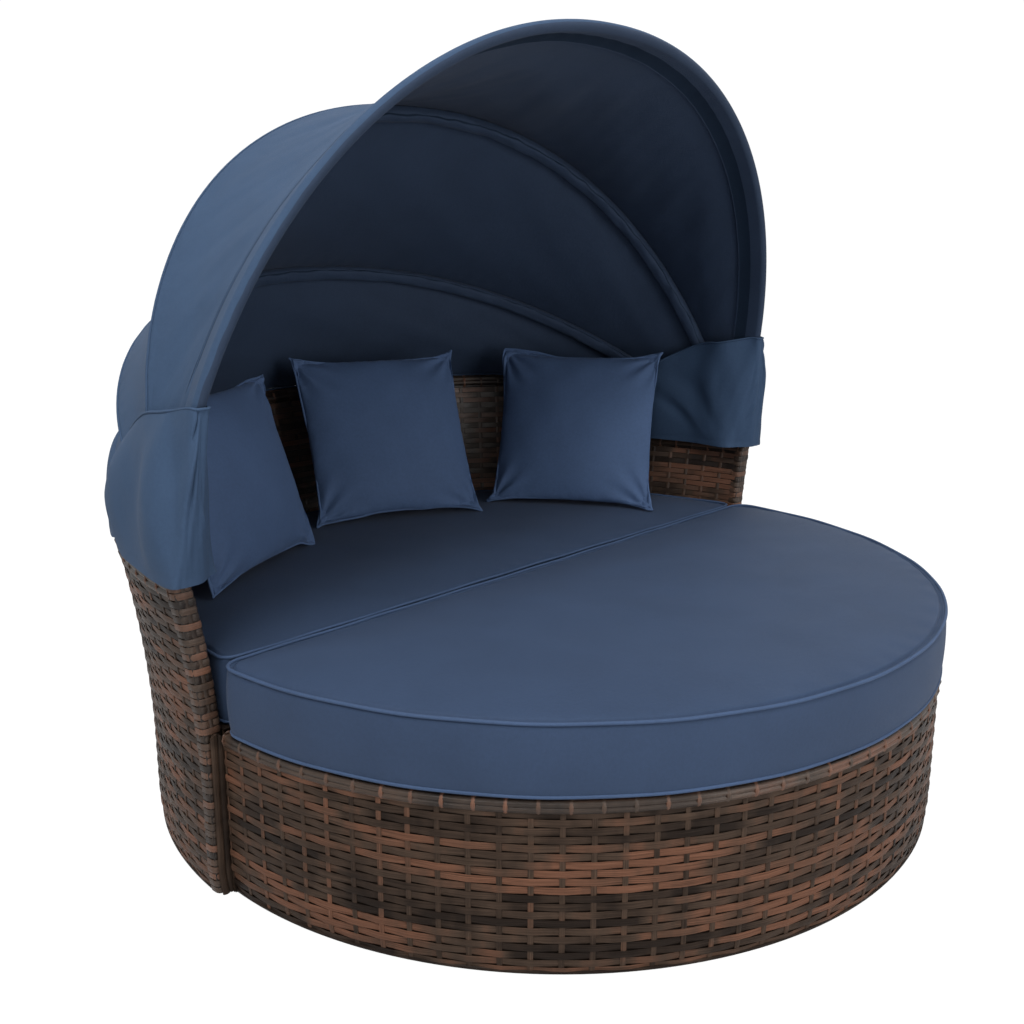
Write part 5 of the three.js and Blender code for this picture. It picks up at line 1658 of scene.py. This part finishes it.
def skirt(side, sign, seed):
    """The cloth that hangs over an arm's end, with the piping along its top."""
    piece = grid("canopy_skirt_cloth_" + side, 200, 64)
    run, rise = places_of(piece).T[:2]
    places, away = skirt_places(run, rise, seed)
    hem = hill(rise, 0, 0.02) * 0.0008 - hill(rise, 0.055, 0.008) * 0.0007
    set_places(piece, (places + away * hem[:, None]) * [sign, 1, 1])
    set_uv(piece, run * 0.9, rise * 0.25)
    thicken(piece, np.array([sign * 0.77, PIVOT_Y, 0.65]))
    smooth(piece, 60)
    dress(piece, "Canopy cloth", "sofa", "canopy_skirt_" + side)
    along = np.linspace(0, 1, 200)
    seam, away = skirt_places(along, np.full_like(along, 0.992), seed)
    seam = (seam + away * 0.0018) * [sign, 1, 1]
    piping = cloth_piping("canopy_skirt_piping_" + side, seam, SKIRT_PIPING, "sofa")
    for cloth in (piece, piping):
        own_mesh(cloth)


def valance():
    """The cloth round the outer side of the wall's rolled top, its lower edge hanging free."""
    turns, hanging = 22, 3
    piece = grid("canopy_valance_cloth", 220, turns)
    along, across = places_of(piece).T[:2]
    share = mix(VALANCE_START, VALANCE_END, along)
    centre, outward = top_line(share)
    part = np.round(across * turns)
    open_end = 1 - smooth_share(np.minimum(share - VALANCE_START, VALANCE_END - share), 0.0, 0.045)
    turn = mix(0.60 * math.pi, 0.42 * math.pi * open_end, np.clip(part / (turns - hanging), 0, 1))
    drop = 0.016 * np.clip((part - turns + hanging) / hanging, 0, 1) * (1 - open_end)
    wavy = ripple(share * 130, across * 3, 95) * 0.0012 * (drop > 0)
    places = round_about(centre, outward, UP, turn, ROLL_RADIUS + 0.0018 + wavy)
    set_places(piece, places - np.outer(drop, UP))
    set_uv(piece, share * 2.4, across * 0.1)
    face_out(piece)
    thickness = bpy.context.scene.daybed_sizes.cloth_thickness
    apply_modifier(piece, "SOLIDIFY", thickness=thickness, offset=0.0)
    smooth(piece, 60)
    dress(piece, "Canopy cloth", "sofa", "canopy_valance")


class DAYBED_OT_skirts(bpy.types.Operator):
    """Make the cloth skirts over the arm ends and the valance along the wall"""

    bl_idname = "daybed.skirts"
    bl_label = "Skirts and Valance"

    def execute(self, context):
        skirt("left", SIDES["left"], 90)
        skirt("right", SIDES["right"], 91)
        valance()
        return {"FINISHED"}


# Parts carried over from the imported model, by the slot of each

CARRIED = {
    "frame": "Frame coat", "hoop": "Hoop coat", "hardware": "Zinc", "glide": "Glide",
    "deck": "Seat board",
}


class DAYBED_OT_carried_parts(bpy.types.Operator):
    """Give the carried-over frame, hoops, bolts, boards and glides their finishes"""

    bl_idname = "daybed.carried_parts"
    bl_label = "Carried-over Parts"

    def execute(self, context):
        slots = {row["node"]: row["material_slot"] for row in frame["record"]["subparts"]}
        for node, piece in frame["nodes"].items():
            if piece.hide_render or slots[node] not in CARRIED:
                continue
            piece.data.materials.clear()
            piece.data.materials.append(bpy.data.materials[CARRIED[slots[node]]])
        return {"FINISHED"}


# Materials

STRANDS = {"Wicker strands": 0.06, "Rolled strands": 0.30, "Inner strands": 0.38}
RIB_DEPTH, CLOTH_CREASE, CORD_CREASE = 0.0007, 0.0012, 0.0004
CANOPY_CREASE = 0.0016
CLOTH_GLOSS = 0.16
# Which colour, the share of it, the depth of the creases and the gloss
CLOTHS = {
    "Canopy cloth": ("canopy", 1.0, CANOPY_CREASE, 0.09),
    # The underside and the pockets: the canopy colour made darker, painted shade inside the canopy.
    "Canopy underside": ("underside", 1.0, CANOPY_CREASE, CLOTH_GLOSS),
    "Pocket cloth": ("underside", 1.05, CANOPY_CREASE, CLOTH_GLOSS),
    # Seam lines: the canopy colour made much darker, painted shade in the seam's grooves.
    "Seam thread": ("canopy", 0.30, CORD_CREASE, 0.05),
    "Cushion cloth": ("cushion", 1.0, CLOTH_CREASE, CLOTH_GLOSS),
    # Piping: the cushion colour made lighter, a painted highlight along the cord.
    "Piping cloth": ("cushion", 1.45, CORD_CREASE, CLOTH_GLOSS),
    # Pillows and their piping: the cushion colour about twice as light, painted light, with a further
    # painted highlight on the piping.
    "Pillow cloth": ("cushion", 2.05, CLOTH_CREASE, CLOTH_GLOSS),
    "Pillow piping": ("cushion", 2.3, CORD_CREASE, CLOTH_GLOSS),
}
ZINC, BLACK = (0.50, 0.51, 0.52), (0.012, 0.012, 0.012)
# Grain of the coat, roughness and metallic
COATS = {
    "Frame coat": (420, 0.42, 0.0),
    "Hoop coat": (520, 0.38, 0.0),
    "Zinc": (900, 0.28, 1.0),
    "Glide": (700, 0.55, 0.0),
    "Seat board": (60, 0.62, 0.0),
}


class DAYBED_OT_finishes(bpy.types.Operator):
    """Make the shared shader groups and the materials"""

    bl_idname = "daybed.finishes"
    bl_label = "Finishes"

    def execute(self, context):
        colours = context.scene.daybed_colours
        make_strand_group()
        make_cloth_group()
        make_coat_group()
        tones = {
            "Dark": opaque(colours.strand_dark), "Grey": opaque(colours.strand_grey),
            "Red": opaque(colours.strand_red),
        }
        for name, gloss in STRANDS.items():
            shading = {"Specular IOR Level": gloss}
            make_material(name, "Strand finish", RIB_DEPTH, 0.8, tones, shading)
        for name, (colour, share, crease, gloss) in CLOTHS.items():
            values = {"Colour": opaque(getattr(colours, colour), share)}
            shading = {"Sheen Weight": 0.3 * gloss, "Sheen Roughness": 0.4, "Specular IOR Level": gloss}
            make_material(name, "Cloth finish", crease, 0.35, values, shading)
        paints = {"Zinc": ZINC, "Glide": BLACK, "Seat board": colours.board}
        for name, (grain, roughness, metallic) in COATS.items():
            colour = opaque(paints.get(name, colours.coat))
            values = {"Colour": colour, "Grain": grain, "Roughness": roughness}
            make_material(name, "Coat finish", 0.0004, 0.3, values, {"Metallic": metallic})
        return {"FINISHED"}


# Stage

LENS = 40.75
CAMERA_PLACE = (-1.67422, -1.51161, 1.06025)
CAMERA_TURN = (math.radians(76.27), 0, math.radians(-46.98))
FLOOR_COLOUR, FLOOR_GLOW, FLOOR_GLOW_SHARE = (0.82, 0.82, 0.82, 1), 1.15, 0.86
AMBIENT_COLOUR = (0.95, 0.97, 1.0, 1)
WHITE, BACKDROP = (1, 1, 1, 1), 1.03
LAMP_TARGET = Vector((0, 0, 0.55))
LAMPS = {
    "key": ((-2.3, -0.9, 4.3), 2.2),
    "top": ((0.0, -0.6, 4.2), 3.0),
    "fill": ((0.1, -4.3, 1.4), 2.2),
}


def set_camera(scene):
    bpy.ops.object.camera_add(location=CAMERA_PLACE, rotation=CAMERA_TURN)
    camera = bpy.context.active_object
    camera.data.sensor_width = 36
    camera.data.lens = LENS
    camera.data.clip_end = 60
    scene.camera = camera


def lay_floor():
    """A pale floor that the camera sees as mostly its own glow."""
    bpy.ops.mesh.primitive_plane_add(size=40)
    floor = named("floor")
    material = bpy.data.materials.new("Floor")
    tree = fresh_tree(material)
    surface = put(tree, "BsdfDiffuse", (0, 0), {"Color": FLOOR_COLOUR})[0]
    glow = put(tree, "Emission", (0, -160), {"Color": WHITE, "Strength": FLOOR_GLOW})[0]
    ray = put(tree, "LightPath", (-300, 200))
    seen = calc(tree, (-120, 200), "MULTIPLY", ray["Is Camera Ray"], FLOOR_GLOW_SHARE)
    mixed = put(tree, "MixShader", (220, 0), {0: seen, 1: surface, 2: glow})[0]
    put(tree, "OutputMaterial", (420, 0), {"Surface": mixed})
    floor.data.materials.append(material)


def light_world(scene, ambient):
    """Soft light from all round, behind which the camera, glossy and clear pieces see white."""
    scene.world = bpy.data.worlds.new("Studio")
    tree = fresh_tree(scene.world)
    ray = put(tree, "LightPath", (-500, 200))
    through = calc(tree, (-400, 200), "MAXIMUM", ray["Is Camera Ray"], ray["Is Transmission Ray"])
    seen = calc(tree, (-250, 200), "MAXIMUM", through, ray["Is Glossy Ray"])
    lit = put(tree, "Background", (-100, 0), {"Color": AMBIENT_COLOUR, "Strength": ambient})[0]
    white = put(tree, "Background", (-100, -160), {"Color": WHITE, "Strength": BACKDROP})[0]
    mixed = put(tree, "MixShader", (120, 0), {0: seen, 1: lit, 2: white})[0]
    put(tree, "OutputWorld", (320, 0), {"Surface": mixed})


class DAYBED_OT_stage(bpy.types.Operator):
    """Set up the camera, the floor, the lamps and the background"""

    bl_idname = "daybed.stage"
    bl_label = "Stage"

    def execute(self, context):
        stage = context.scene.daybed_stage
        context.scene.view_settings.view_transform = "Standard"
        clear_selection()
        set_camera(context.scene)
        lay_floor()
        light_world(context.scene, stage.ambient)
        for name, (place, size) in LAMPS.items():
            turn = (LAMP_TARGET - Vector(place)).to_track_quat("-Z", "Y").to_euler()
            bpy.ops.object.light_add(type="AREA", location=place, rotation=turn)
            lamp = bpy.context.active_object
            lamp.name = name + "_lamp"
            lamp.data.energy = getattr(stage, name + "_power")
            lamp.data.size = size
        return {"FINISHED"}


class DAYBED_PT_panel(bpy.types.Panel):
    """Lists the daybed's sizes, colours and steps."""

    bl_idname = "DAYBED_PT_panel"
    bl_label = "Daybed"
    bl_space_type = "VIEW_3D"
    bl_region_type = "UI"
    bl_category = "Daybed"

    def draw(self, context):
        for group_name in GROUPS:
            settings = getattr(context.scene, group_name)
            box = self.layout.box()
            for name in settings.__annotations__:
                box.prop(settings, name)
        for step in STEPS:
            self.layout.operator(step.bl_idname)


GROUPS = {"daybed_sizes": DaybedSizes, "daybed_colours": DaybedColours, "daybed_stage": DaybedStage}
STEPS = (
    DAYBED_OT_stage,
    DAYBED_OT_finishes,
    DAYBED_OT_walls,
    DAYBED_OT_rolls,
    DAYBED_OT_bindings,
    DAYBED_OT_cushions,
    DAYBED_OT_pillows,
    DAYBED_OT_panels,
    DAYBED_OT_skirts,
    DAYBED_OT_carried_parts,
)


def register():
    for kind in (*GROUPS.values(), *STEPS, DAYBED_PT_panel):
        bpy.utils.register_class(kind)
    for name, kind in GROUPS.items():
        setattr(bpy.types.Scene, name, bpy.props.PointerProperty(type=kind))


def unregister():
    for name in GROUPS:
        delattr(bpy.types.Scene, name)
    for kind in (DAYBED_PT_panel, *reversed(STEPS), *GROUPS.values()):
        bpy.utils.unregister_class(kind)


def main():
    register()
    for step in STEPS:
        category, action = step.bl_idname.split(".")
        getattr(getattr(bpy.ops, category), action)()
    bpy.context.view_layer.update()


if __name__ == "__main__":
    main()
